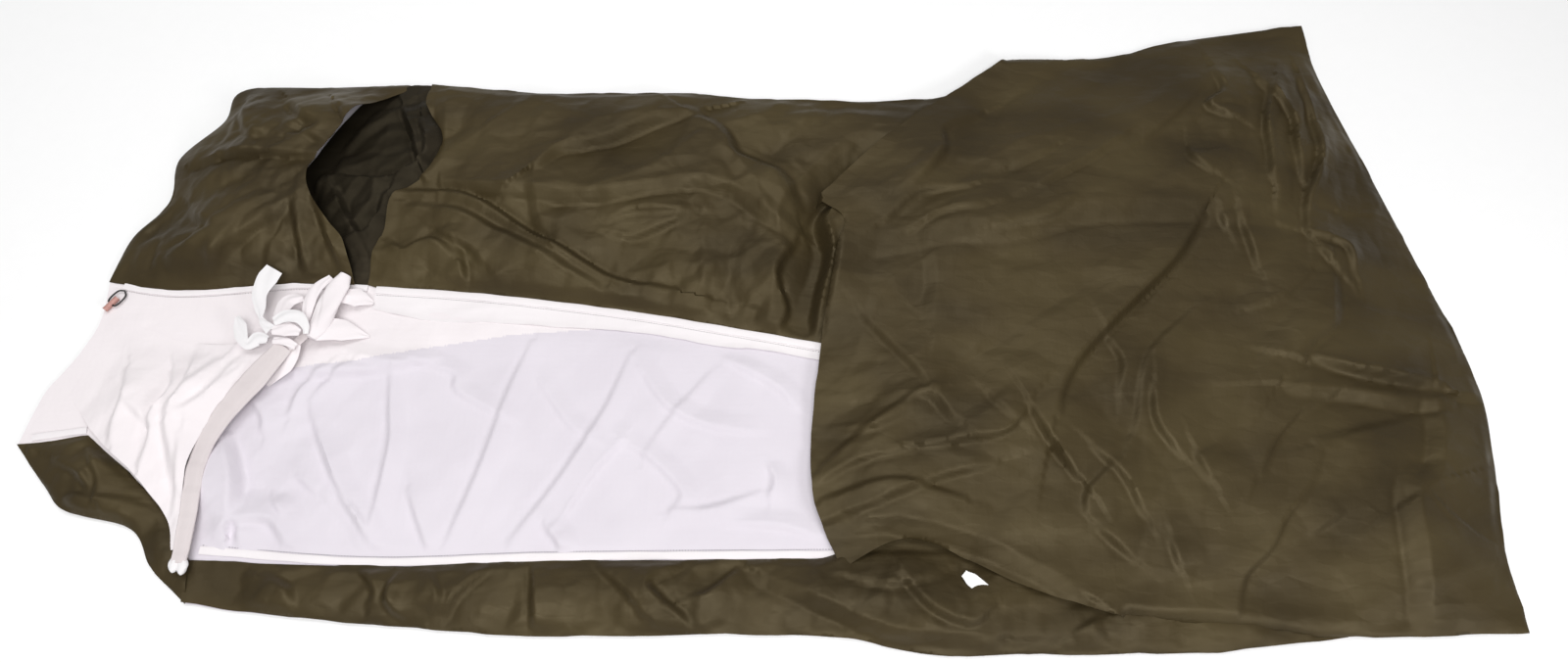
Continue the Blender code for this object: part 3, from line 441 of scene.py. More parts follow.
def crease(points, height, width, lean, line):
    """A fold along a line: a crest, steeper and tucked under on one side, that dies out at both ends."""
    fine = spline(line, 0.008)
    distance, along, side = to_line(points, fine)
    steep = side * lean < 0
    flank = np.where(steep, np.maximum(0.009, width * (1 - abs(lean)) * 0.7), width * (1 + abs(lean)) * 1.6)
    crest = np.clip(1 - distance / flank, 0, 1)
    tuck = 0.10 * np.exp(-((distance - flank) / 0.006) ** 2) * steep
    fade = np.sin(pi * np.clip(0.06 + 0.88 * along, 0, 1)) ** 0.6
    return height * fade * (crest - tuck)


def nearest_squared(points, seed):
    """The squared distance to the nearest point of an uneven lattice of pitch 1."""
    cell = np.floor(points).astype(int)
    best = np.full(len(points), 9.0)
    for dx in (-1, 0, 1):
        for dy in (-1, 0, 1):
            corner = cell + (dx, dy)
            mixed = (corner[:, 0] * 374761 + corner[:, 1] * 668265 + seed * 69069) & 0xFFFFF
            mixed = (mixed * 1597 + 51749) % 244944
            jitter = np.stack([mixed % 488, mixed // 488 % 488], 1) / 488.0
            gap = points - corner - jitter
            best = np.minimum(best, (gap * gap).sum(1))
    return best


def crumple(points, size, height, angle, stretch, seed):
    """Flat facets that meet in straight creases, about size across."""
    turned = points @ np.array([[cos(angle), -sin(angle)], [sin(angle), cos(angle)]])
    turned = turned / (size * stretch, size / stretch)
    return height * (nearest_squared(turned, seed) - nearest_squared(turned + 0.37, seed + 1))


def relief(points, creases, crumples):
    """All the folds of one piece of cloth."""
    total = np.zeros(len(points))
    for size, height, angle, stretch, seed, spot in crumples:
        strength = 1.0
        if spot:
            strength = np.exp(-((points - spot[:2]) ** 2).sum(1) / spot[2] ** 2)
        total += strength * crumple(points, size, height, angle, stretch, seed)
    for height, width, lean, line in creases:
        total += 1.75 * crease(points, height, width, lean, line)
    return total


class Surface:
    """The upper side of some CAD nodes over the plan, evened out."""

    def __init__(self, nodes, soften=2, step=0.010):
        self.low = np.min([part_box(n)[0][:2] for n in nodes], axis=0) - 2 * step
        high = np.max([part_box(n)[1][:2] for n in nodes], axis=0) + 2 * step
        self.step = step
        columns, rows = (np.ceil((high - self.low) / step)).astype(int) + 1
        heights = np.zeros((columns, rows))
        known = np.zeros((columns, rows))
        trees = [BVHTree.FromPolygons([v.co[:] for v in frame["nodes"][n].data.vertices],
                                      [p.vertices[:] for p in frame["nodes"][n].data.polygons]) for n in nodes]
        for i in range(columns):
            for j in range(rows):
                x, y = self.low + (i * step, j * step)
                hits = [hit.z for hit in (tree.ray_cast((x, y, 1), (0, 0, -1))[0] for tree in trees) if hit]
                if hits:
                    heights[i, j] = max(hits)
                    known[i, j] = 1
        for _ in range(soften):
            heights, known = self.blur(heights * known), self.blur(known)
            heights = heights / np.maximum(known, 1e-9)
            known = np.minimum(known * 9, 1)
        self.heights = heights

    @staticmethod
    def blur(grid):
        padded = np.pad(grid, 1)
        return sum(padded[i:i + grid.shape[0], j:j + grid.shape[1]] for i in range(3) for j in range(3)) / 9

    def __call__(self, points):
        place = (points - self.low) / self.step
        cell = np.clip(np.floor(place).astype(int), 0, np.array(self.heights.shape) - 2)
        u, v = np.clip(place - cell, 0, 1).T
        i, j = cell.T
        grid = self.heights
        return ((1 - u) * (1 - v) * grid[i, j] + u * (1 - v) * grid[i + 1, j]
                + (1 - u) * v * grid[i, j + 1] + u * v * grid[i + 1, j + 1])


# Meshes

def mesh_object(name, verts, faces, smooth=True):
    mesh = bpy.data.meshes.new(name)
    mesh.from_pydata([tuple(map(float, v)) for v in verts], [], [tuple(map(int, f)) for f in faces])
    mesh.validate()
    if smooth:
        mesh.shade_smooth()
        mesh.set_sharp_from_angle(angle=1.0)
    obj = bpy.data.objects.new(name, mesh)
    bpy.context.scene.collection.objects.link(obj)
    return obj


def filled(outline, cell, fine=None):
    """Points and triangles that fill an outline; with fine=(low, high, cell), one rectangle has smaller cells."""
    low, high = outline.min(0), outline.max(0)

    def lattice(a, b, pitch):
        nx, ny = (np.maximum(1, np.round((b - a) / pitch))).astype(int)
        xs, ys = np.meshgrid(np.linspace(a[0], b[0], nx + 1), np.linspace(a[1], b[1], ny + 1), indexing="ij")
        xs = xs + (np.arange(ny + 1) % 2)[None, :] * pitch / 2
        return np.stack([xs.ravel(), ys.ravel()], 1)

    points = lattice(low, high, cell)
    if fine:
        a, b, pitch = np.array(fine[0]), np.array(fine[1]), fine[2]
        outside = ((points < a - pitch) | (points > b + pitch)).any(1)
        points = np.vstack([points[outside], lattice(a, b, pitch)])
    points = points[is_inside(points, outline)]
    gap = np.full(len(points), 1e9)
    for start in range(0, len(points), 4096):
        chunk = points[start:start + 4096]
        away = np.linalg.norm(chunk[:, None] - outline[None], axis=2).min(1)
        gap[start:start + 4096] = away
    keep = gap > (fine[2] if fine else cell) * 0.6
    points = np.vstack([outline, points[keep]])
    edges = [(i, (i + 1) % len(outline)) for i in range(len(outline))]
    verts, _, faces, *_ = delaunay_2d_cdt([tuple(map(float, p)) for p in points], edges, [], 1, 1e-7)
    return np.array([v[:] for v in verts]), np.array([f[:] for f in faces if len(f) == 3])


def cloth(name, outline, height, cell=CELL, thickness=NYLON, fine=None):
    """A closed sheet over an outline, at the height that a function gives, with its flat area noted."""
    plan, faces = filled(outline, cell, fine)
    a, b, c = plan[faces[:, 0]], plan[faces[:, 1]], plan[faces[:, 2]]
    turn = (b[:, 0] - a[:, 0]) * (c[:, 1] - a[:, 1]) - (b[:, 1] - a[:, 1]) * (c[:, 0] - a[:, 0])
    faces[turn < 0] = faces[turn < 0][:, ::-1]
    top = np.column_stack([plan, height(plan)])
    count = len(top)
    edges = np.vstack([faces[:, [0, 1]], faces[:, [1, 2]], faces[:, [2, 0]]])
    known = {(int(p), int(q)) for p, q in edges}
    rim = [(p, q) for p, q in known if (q, p) not in known]
    walls = [(q, p, p + count, q + count) for p, q in rim]
    verts = np.vstack([top, top - (0, 0, thickness)])
    all_faces = [tuple(f) for f in faces] + [tuple(f[::-1] + count) for f in faces] + walls
    obj = mesh_object(name, verts, all_faces)
    obj["flat_area"] = float(np.abs(turn).sum() / 2)
    return obj


def sweep(name, line, section, closed_ends=True):
    """A tube along a line of 3-D points; section gives the ring at a share of the length, as (side, up) pairs."""
    line = np.array(line)
    ways = np.gradient(line, axis=0)
    ways /= np.linalg.norm(ways, axis=1)[:, None]
    sides = np.cross(ways, (0, 0, 1))
    sides /= np.maximum(np.linalg.norm(sides, axis=1), 1e-9)[:, None]
    ups = np.cross(sides, ways)
    steps = np.linalg.norm(np.diff(line, axis=0), axis=1)
    share = np.concatenate([[0], np.cumsum(steps)]) / steps.sum()
    rings = []
    for place, side, up, t in zip(line, sides, ups, share):
        ring = np.array(section(t))
        rings.append(place + ring[:, :1] * side + ring[:, 1:] * up)
    sides_count = len(rings[0])
    verts = np.vstack(rings)
    faces = []
    for i in range(len(rings) - 1):
        for j in range(sides_count):
            k = (j + 1) % sides_count
            faces.append((i * sides_count + j, i * sides_count + k, (i + 1) * sides_count + k,
                          (i + 1) * sides_count + j))
    if closed_ends:
        faces.append(tuple(range(sides_count))[::-1])
        faces.append(tuple(range((len(rings) - 1) * sides_count, len(rings) * sides_count)))
    return mesh_object(name, verts, faces)


def oval(width, height, power=0.7, count=16):
    """A ring with flattened sides."""
    angles = np.arange(count) * 2 * pi / count
    c, s = np.cos(angles), np.sin(angles)
    return np.stack([width / 2 * np.sign(c) * np.abs(c) ** power, height / 2 * np.sign(s) * np.abs(s) ** power], 1)


def shifted(line, distance):
    """A plan line moved to its left."""
    line = np.array(line)
    ways = np.gradient(line, axis=0)
    ways /= np.linalg.norm(ways, axis=1)[:, None]
    return line + distance * np.stack([-ways[:, 1], ways[:, 0]], 1)


def band(name, plan_line, width, thickness, height):
    """A sewn band along a plan line, lying at a height, that puckers a little along its length."""
    fine = spline(plan_line, 0.004)
    z = height(fine)
    line = np.column_stack([fine, z])
    length = np.linalg.norm(np.diff(fine, axis=0), axis=1).sum()

    def section(t):
        s = t * length
        full = 1 + 0.16 * sin(s * 190) * sin(s * 47 + 1) + 0.10 * sin(s * 310 + 2)
        ring = oval(width * (1 + 0.05 * sin(s * 83)), thickness * full, 0.75, 12)
        ring[:, 1] += 0.0002 * sin(s * 120)
        return ring

    return sweep(name, line, section)


def stitches(name, plan_line, height):
    """A row of thread stitches, each a small spindle lying on the cloth."""
    fine = spline(plan_line, 0.001)
    steps = np.concatenate([[0], np.cumsum(np.linalg.norm(np.diff(fine, axis=0), axis=1))])
    starts = np.arange(0.002, steps[-1] - STITCH_PITCH, STITCH_PITCH)
    verts, faces = [], []
    for start in starts:
        a = np.array([np.interp(start, steps, fine[:, k]) for k in (0, 1)])
        b = np.array([np.interp(start + STITCH_LENGTH, steps, fine[:, k]) for k in (0, 1)])
        way = (b - a) / STITCH_LENGTH
        side = np.array([-way[1], way[0]]) * 0.0005
        middle = (a + b) / 2
        z = float(height(np.array([middle]))[0])
        base = len(verts)
        verts += [(*a, z), (*b, z), (*(middle + side), z), (*(middle - side), z), (*middle, z + 0.0004),
                  (*middle, z - 0.0004)]
        ring = [2, 4, 3, 5]
        for k in range(4):
            p, q = ring[k], ring[(k + 1) % 4]
            faces += [(base, base + q, base + p), (base + 1, base + p, base + q)]
    return mesh_object(name, verts, faces)


# Materials

def shader(name, roughness, sheen=0.0, coat=0.0):
    material = bpy.data.materials.new(name)
    material.use_nodes = True
    nodes = material.node_tree.nodes
    surface = nodes["Principled BSDF"]
    surface.inputs["Roughness"].default_value = roughness
    surface.inputs["Sheen Weight"].default_value = sheen
    surface.inputs["Coat Weight"].default_value = coat
    return material, nodes, material.node_tree.links, surface


def noise(nodes, links, coords, scale, detail=4.0, distortion=0.0):
    texture = nodes.new("ShaderNodeTexNoise")
    texture.inputs["Scale"].default_value = scale
    texture.inputs["Detail"].default_value = detail
    texture.inputs["Distortion"].default_value = distortion
    links.new(coords, texture.inputs["Vector"])
    return texture.outputs["Fac"]


def facets(nodes, links, coords, scale):
    """Small flat facets that meet in straight creases: the difference of two squared distances."""
    powers = []
    for place in ((0.0, 0.0, 0.0), (3.1, 5.7, 0.0)):
        moved = nodes.new("ShaderNodeMapping")
        moved.inputs["Location"].default_value = place
        moved.inputs["Rotation"].default_value = (0.0, 0.0, 0.5)
        moved.inputs["Scale"].default_value = (0.7, 1.3, 1.0)
        links.new(coords, moved.inputs["Vector"])
        cells = nodes.new("ShaderNodeTexVoronoi")
        cells.inputs["Scale"].default_value = scale
        links.new(moved.outputs["Vector"], cells.inputs["Vector"])
        square = nodes.new("ShaderNodeMath")
        square.operation = "POWER"
        square.inputs[1].default_value = 2.0
        links.new(cells.outputs["Distance"], square.inputs[0])
        powers.append(square.outputs[0])
    difference = nodes.new("ShaderNodeMath")
    difference.operation = "SUBTRACT"
    for socket, power in zip(difference.inputs, powers):
        links.new(power, socket)
    return difference.outputs[0]


def weave(nodes, links, coords, threads):
    """Warp and weft threads, this many to the metre, as one height."""
    crossing = nodes.new("ShaderNodeMath")
    crossing.operation = "ADD"
    for socket, direction in zip(crossing.inputs, ("X", "Y")):
        wave = nodes.new("ShaderNodeTexWave")
        wave.bands_direction = direction
        wave.inputs["Scale"].default_value = threads / 20
        wave.inputs["Distortion"].default_value = 0.4
        links.new(coords, wave.inputs["Vector"])
        links.new(wave.outputs["Fac"], socket)
    return crossing.outputs[0]


def add_bump(nodes, links, surface, heights):
    """Bumps in a row, each (height socket, strength, distance)."""
    normal = None
    for height, strength, distance in heights:
        bump = nodes.new("ShaderNodeBump")
        bump.inputs["Strength"].default_value = strength
        bump.inputs["Distance"].default_value = distance
        links.new(height, bump.inputs["Height"])
        if normal:
            links.new(normal, bump.inputs["Normal"])
        normal = bump.outputs["Normal"]
    links.new(normal, surface.inputs["Normal"])


def ramp(nodes, links, value, stops):
    """A colour from a value, through (position, colour) stops."""
    node = nodes.new("ShaderNodeValToRGB")
    links.new(value, node.inputs["Fac"])
    while len(node.color_ramp.elements) < len(stops):
        node.color_ramp.elements.new(0.5)
    for element, (position, colour) in zip(node.color_ramp.elements, stops):
        element.position = position
        element.color = (*colour, 1)
    return node.outputs["Color"]


def nylon(name, dark, middle, light, roughness=0.52):
    """Thin, crisp, slightly glossy woven nylon."""
    material, nodes, links, surface = shader(name, roughness)
    surface.inputs["Specular IOR Level"].default_value = 0.42
    surface.inputs["Specular Tint"].default_value = (1.0, 0.84, 0.55, 1)
    coords = nodes.new("ShaderNodeTexCoord").outputs["Object"]
    tone = nodes.new("ShaderNodeMath")
    tone.operation = "MULTIPLY_ADD"
    tone.inputs[1].default_value = 0.45
    links.new(facets(nodes, links, coords, 9.0), tone.inputs[0])
    links.new(noise(nodes, links, coords, 4.0, 3.0, 0.3), tone.inputs[2])
    links.new(ramp(nodes, links, tone.outputs[0], [(0.28, dark), (0.52, middle), (0.76, light)]),
              surface.inputs["Base Color"])
    gloss = ramp(nodes, links, noise(nodes, links, coords, 22.0, 3.0),
                 [(0.3, (roughness - 0.06,) * 3), (0.7, (roughness + 0.09,) * 3)])
    links.new(gloss, surface.inputs["Roughness"])
    add_bump(nodes, links, surface, [
        (facets(nodes, links, coords, 18.0), 1.0, 0.0017),
        (facets(nodes, links, coords, 47.0), 1.0, 0.00055),
        (noise(nodes, links, coords, 90.0, 3.0, 0.4), 0.12, 0.0006),
        (weave(nodes, links, coords, 900), 0.06, 0.0003)])
    return material


def cotton(name, shade, tint, roughness=0.85, crinkle=0.25, threads=700):
    """Plain-woven cotton with faint pressed wrinkles."""
    material, nodes, links, surface = shader(name, roughness, sheen=0.25)
    surface.inputs["Specular IOR Level"].default_value = 0.25
    coords = nodes.new("ShaderNodeTexCoord").outputs["Object"]
    cloudy = noise(nodes, links, coords, 7.0, 4.0, 0.3)
    links.new(ramp(nodes, links, cloudy, [(0.30, shade), (0.70, tint)]), surface.inputs["Base Color"])
    add_bump(nodes, links, surface, [
        (noise(nodes, links, coords, 30.0, 5.0, 1.2), crinkle, 0.0025),
        (noise(nodes, links, coords, 160.0, 3.0, 0.6), crinkle * 0.6, 0.0006),
        (weave(nodes, links, coords, threads), 0.16, 0.0003)])
    return material


def plain(name, colour, darker, roughness, scale, strength=0.2):
    """Thread, cord or wood: one colour with a fine grain."""
    material, nodes, links, surface = shader(name, roughness)
    coords = nodes.new("ShaderNodeTexCoord").outputs["Object"]
    grain = noise(nodes, links, coords, scale, 5.0, 0.8)
    links.new(ramp(nodes, links, grain, [(0.3, darker), (0.7, colour)]), surface.inputs["Base Color"])
    add_bump(nodes, links, surface, [(grain, strength, 0.0006)])
    return material


SHELL = nylon("shell_nylon", (0.030, 0.021, 0.009), (0.041, 0.029, 0.012), (0.052, 0.038, 0.016))
# Near-black copy of the shell nylon for the neck pit: painted shade of the deep recess
GUSSET_PAINTED_SHADE = nylon("gusset_nylon_painted_shade", (0.003, 0.002, 0.001), (0.006, 0.0045, 0.003), (0.013, 0.010, 0.007), 0.7)
GROUND = nylon("ground_nylon", (0.050, 0.043, 0.021), (0.060, 0.050, 0.025), (0.072, 0.060, 0.031), 0.5)
# Lavender copy of the white cotton for the liner: painted cool shade
LINER_COOL_SHADE_COTTON = cotton("liner_cotton", (0.695, 0.65, 0.705), (0.735, 0.69, 0.745))
# Pinkish copy of the white cotton, for the flap, tapes and head end: painted warm light
WARM_LIT_COTTON = cotton("neck_cotton", (0.83, 0.775, 0.79), (0.875, 0.82, 0.835), crinkle=0.32)
HEAD = cotton("head_cotton", (0.83, 0.785, 0.80), (0.87, 0.83, 0.84))
CASING = cotton("casing_cotton", (0.66, 0.595, 0.60), (0.71, 0.645, 0.645), crinkle=0.4)
TAPE = cotton("tape_cotton", (0.82, 0.80, 0.81), (0.86, 0.84, 0.845), threads=1100)
SATIN = cotton("label_satin", (0.86, 0.85, 0.83), (0.91, 0.90, 0.89), 0.5, 0.1, 1600)
THREAD = plain("stitch_thread", (0.07, 0.065, 0.07), (0.04, 0.038, 0.04), 0.7, 900)
INK = plain("label_ink", (0.20, 0.20, 0.22), (0.14, 0.14, 0.15), 0.7, 600)
CORD = plain("dark_cord", (0.035, 0.032, 0.030), (0.015, 0.014, 0.013), 0.7, 700, 0.5)
WOOD = plain("toggle_wood", (0.56, 0.30, 0.26), (0.42, 0.20, 0.17), 0.45, 130)
FLOOR = plain("floor_paper", (0.97, 0.97, 0.97), (0.96, 0.96, 0.96), 0.9, 40, 0.02)


def finish(obj, material, slot, body=None, replaces=()):
    """Gives a piece its look and its body, and hides the CAD nodes it stands for."""
    obj.data.materials.append(material)
    if body:
        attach(obj, body)
    if replaces:
        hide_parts(*replaces)
    return obj


# The shell

def edge_line(*runs):
    return np.vstack([spline(r) for r in runs])


def make_ground():
    outline = loop(HEAD_RUN, HOOD_RUN, FAR_RUN, COVER_FAR_RUN, FOOT_RUN, NEAR_RUN, NEAR_HEAD_RUN, step=0.012)

    def height(points):
        return np.full(len(points), GROUND_TOP)

    under = outline + (np.array([0.0, -0.04]) - outline) * 0.004
    ground = cloth("ground_sheet", under, height, COARSE_CELL, 0.0018)
    finish(ground, GROUND, "ground_nylon", "sack", ["ground_panel"])
    return outline


def shell_height(surface, sewn, creases, crumples, foot=SHELL_FOOT, reach=0.020, fade=0.020):
    """The height of a shell panel: rolled down to the seam along its sewn lines."""
    sewn_line = [spline(r) for r in sewn]

    def height(points):
        near = to_edge(points, *sewn_line)
        roll = np.sqrt(1 - (1 - np.clip(near / reach, 0, 1)) ** 2)
        folds = relief(points, creases, crumples) * rise(near / fade)
        z = np.maximum(foot, foot + (surface(points) - foot + folds) * roll)
        return np.minimum(z, 0.056) + 0.016 * np.tanh(np.maximum(z - 0.056, 0) / 0.016)

    return height


def make_cover():
    outline = loop(COVER_FAR_RUN, FOOT_RUN, COVER_NEAR_EDGE[::-1], MOUTH_NEAR_EDGE[::-1], MOUTH_EDGE[::-1],
                   MOUTH_FAR_EDGE[::-1])
    surface = Surface(["foot_cover", "cover_mouth"])
    height = shell_height(surface, [COVER_FAR_RUN, FOOT_RUN, COVER_NEAR_EDGE], COVER_CREASES, COVER_CRUMPLES)
    cover = cloth("foot_cover_sheet", outline, height)
    finish(cover, SHELL, "shell_nylon", None, ["foot_cover", "cover_mouth"])
    joint = next(j for j in frame["joints"] if j["name"] == "cover_mouth_lift")
    hinge = np.array(joint["pos_m"] if "pos_m" in joint else joint["pos"])
    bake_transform(cover)
    return height


def make_far_panel():
    outline = loop(FAR_RUN[:-1] + [(0.407, 0.450)], [(0.407, 0.450), (0.420, -0.105)],
                   between(OPENING_FAR, -0.606, 0.42)[::-1], PIT_BODY_SIDE[::-1])
    surface = Surface(["far_front_panel"])
    lying = shell_height(surface, [FAR_RUN, OPENING_FAR], FAR_CREASES, FAR_CRUMPLES, 0.0052)

    def height(points):
        pit = to_edge(points, spline(PIT_BODY_SIDE[1:-1]))
        return lying(points) + 0.010 * np.exp(-(pit / 0.025) ** 2) * rise(to_edge(points, spline(OPENING_FAR)) / 0.03)

    panel = cloth("far_front_sheet", outline, height)
    finish(panel, SHELL, "shell_nylon", "sack", ["far_front_panel"])


def make_near_panel():
    edge = [(-0.813, -0.411)] + [p for p in OPENING_NEAR[1:] if p[0] < 0.05]
    edge += [(0.090, -0.408), (0.130, -0.392), (0.200, -0.366), (0.300, -0.385), (0.480, -0.418)] + OPENING_NEAR[6:]
    outline = loop(edge, NEAR_RUN[1:-1] + [(-0.806, -0.471)])
    surface = Surface(["near_front_panel"], 1)
    lying = shell_height(surface, [NEAR_RUN, edge], NEAR_CREASES, NEAR_CRUMPLES, 0.0052, 0.016, 0.014)

    def height(points):
        return lying(points) + 0.0020 * (1 - rise((points[:, 0] + 0.815) / 0.04))

    panel = cloth("near_front_sheet", outline, height)
    finish(panel, SHELL, "shell_nylon", "sack", ["near_front_panel"])


def make_near_head_panel():
    outline = loop(HEAD_PANEL_TOP, HEAD_PANEL_SIDE, NEAR_HEAD_RUN)
    surface = Surface(["near_head_panel"], 1)
    height = shell_height(surface, [NEAR_HEAD_RUN, HEAD_PANEL_TOP, HEAD_PANEL_SIDE[:-1]], HEAD_CREASES, HEAD_CRUMPLES, 0.0052, 0.014,
                          0.014)
    panel = cloth("near_head_sheet", outline, height)
    finish(panel, SHELL, "shell_nylon", "sack", ["near_head_panel"])


def make_hood():
    outline = loop(HOOD_RUN[:-1] + [(-0.574, 0.416)], [(-0.576, 0.408)] + PIT_HOOD_SIDE[1:],
                   between(OPENING_FAR, -1.03, -0.634)[::-1])
    surface = Surface(["hood"])
    height = shell_height(lambda points: 0.78 * surface(points), [HOOD_RUN, OPENING_FAR], HOOD_CREASES, HOOD_CRUMPLES,
                          reach=0.014, fade=0.045)
    hood = cloth("hood_sheet", outline, height)
    finish(hood, SHELL, "shell_nylon", "sack", ["hood"])


def make_gusset():
    body_side = [(x + 0.022, y) for x, y in PIT_BODY_SIDE[1:]]
    hood_side = [(x - 0.045, y) for x, y in PIT_HOOD_SIDE[1:]]
    outline = loop([(-0.640, 0.404), (-0.545, 0.412), body_side[0]], body_side, [body_side[-1], hood_side[-1]],
                   hood_side[::-1] + [(-0.640, 0.404)])
    surface = Surface(["neck_gusset"], 2)
    shown = np.vstack([spline(PIT_BODY_SIDE), spline(PIT_HOOD_SIDE)[::-1]])
    relief_height = shell_height(surface, [FAR_RUN], PIT_CREASES, PIT_CRUMPLES)

    def height(points):
        under = np.where(is_inside(points, shown), 0, to_edge(points, np.vstack([shown, shown[:1]])))
        return np.maximum(SHELL_FOOT, SHELL_FOOT + (relief_height(points) - SHELL_FOOT) * (1 - rise(under / 0.012)))

    pit = cloth("neck_gusset_sheet", outline, height)
    # The pit's sheet takes the near-black nylon: painted shade
    finish(pit, GUSSET_PAINTED_SHADE, "shell_nylon", "sack", ["neck_gusset"])


# The liner and its trim

def make_liner(sack):
    drawn_in = sack + (np.array([0.0, -0.04]) - sack) * 0.001
    head_panel = loop(HEAD_PANEL_TOP, HEAD_PANEL_SIDE, NEAR_HEAD_RUN, step=0.02)

    def height(points):
        x, y = points.T
        shown = rise((0.16 - x) / 0.04) * rise((x + 1.02) / 0.03)
        shown = shown * rise((0.02 - y - 0.17 * np.clip(x + 0.6, 0, 1)) / 0.03) * rise((y + 0.405) / 0.02)
        shown = shown * rise(to_edge(points, HEAD_PANEL_SIDE) / 0.05 - 0.3) * ~is_inside(points, head_panel)
        return LINER_TOP + shown * np.maximum(1.2 * relief(points, LINER_CREASES, LINER_CRUMPLES) + 0.0010, 0)

    liner = cloth("liner_sheet", drawn_in, height, COARSE_CELL, COTTON, fine=((-1.09, -0.42), (0.17, 0.04), 0.004))
    finish(liner, LINER_COOL_SHADE_COTTON, "liner_cotton", "sack", ["liner_back_sheet", "liner_head_sheet"])
    # Faces of the head end take the pinkish cotton: painted warm light
    liner.data.materials.append(WARM_LIT_COTTON)
    middles = np.array([face.center[:2] for face in liner.data.polygons])
    liner.data.polygons.foreach_set("material_index", is_inside(middles, np.array(WARM_LIT_PART)).astype(int))


def make_trim():
    """Hems, facing and bindings along the opening, with their stitches."""
    far_edge = between(OPENING_FAR, -0.603, 0.42)
    far_line = spline(far_edge)
    lower = [(-0.603, -0.012), (-0.500, -0.032), (-0.400, -0.036), (-0.250, -0.046), (-0.150, -0.058),
             (-0.050, -0.076), (0.020, -0.084), (0.200, -0.118), (0.420, -0.150)]
    outline = loop([tuple(p) for p in shifted(far_line, -0.002)], lower[::-1])

    def facing_height(points):
        near = to_edge(points, spline(lower))
        folds = crumple(points, 0.045, 0.0016, 0.2, 1.8, 101) + crumple(points, 0.020, 0.0004, 0.5, 1.3, 103)
        return 0.0054 + 0.0012 * np.exp(-(near / 0.004) ** 2) + np.maximum(folds, -0.0004)

    facing = cloth("far_facing_sheet", outline, facing_height, 0.004, COTTON)
    finish(facing, HEAD, "liner_cotton", "sack", ["far_facing"])

    def level(z):
        return lambda points: np.full(len(points), z)

    hem_line = [tuple(p) for p in shifted(far_line, -0.005)]
    hem = band("far_hem_band", hem_line, HEM_WIDTH, 0.0020, level(0.0068))
    finish(hem, HEAD, "liner_cotton", "sack", ["far_hem"])
    seam = stitches("far_hem_stitches", [tuple(p) for p in shifted(far_line, -0.0135)], lambda p: facing_height(p) + 0.0002)
    finish(seam, THREAD, "dark_cord", "sack")

    near_line = spline(between(OPENING_NEAR, -0.796, 0.125))
    near_hem = band("near_hem_band", [tuple(p) for p in shifted(near_line, 0.006)], HEM_WIDTH, 0.0020, level(0.0056))
    finish(near_hem, HEAD, "liner_cotton", "sack", ["near_hem"])
    seam = stitches("near_hem_stitches", [tuple(p) for p in shifted(near_line, 0.0135)], level(0.0050))
    finish(seam, THREAD, "dark_cord", "sack")

    hood_line = spline(between(OPENING_FAR, -1.001, -0.608))
    binding = band("hood_binding_band", [tuple(p) for p in shifted(hood_line, -0.003)], 0.011, 0.0020, level(0.0056))
    finish(binding, HEAD, "liner_cotton", "sack", ["hood_binding"])
    seam = stitches("hood_binding_stitches", [tuple(p) for p in shifted(hood_line, -0.0105)], level(0.0050))
    finish(seam, THREAD, "dark_cord", "sack")

    head_line = spline([(-1.079, -0.225), (-1.054, -0.221), (-1.000, -0.213)])
    binding = band("head_binding_band", [tuple(p) for p in head_line], 0.011, 0.0020, level(0.0056))
    finish(binding, HEAD, "liner_cotton", "sack", ["head_binding"])


# The neck flap, its casing and the tapes

def make_flap():
    seam = [(-0.8240, -0.400), (-0.8240, -0.350), (-0.8265, -0.268), (-0.804, -0.192), (-0.754, -0.118),
            (-0.720, -0.078), (-0.712, -0.060)]
    hinge_line = [(-0.997, -0.025), (-1.040, -0.160)]
    outline = loop(FLAP_NEAR_EDGE, seam, FLAP_FAR_EDGE, hinge_line, step=0.004)
    surface = Surface(["neck_flap"], 2)
    hinge = spline(hinge_line)

    def height(points):
        near = to_edge(points, hinge, FLAP_FAR_EDGE[2:])
        folds = relief(points, FLAP_CREASES, FLAP_CRUMPLES) * rise(near / 0.05)
        up = 0.0170 * np.exp(-to_edge(points, seam[:-1]) / 0.030)
        return 0.0046 + np.maximum(0.0008 * rise(near / 0.03),
                                   np.maximum((surface(points) - 0.0046) * rise(near / 0.12) + folds, up))

    flap = cloth("neck_flap_sheet", outline, height, 0.004, COTTON)
    finish(flap, WARM_LIT_COTTON, "neck_cotton", None, ["neck_flap"])
    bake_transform(flap)


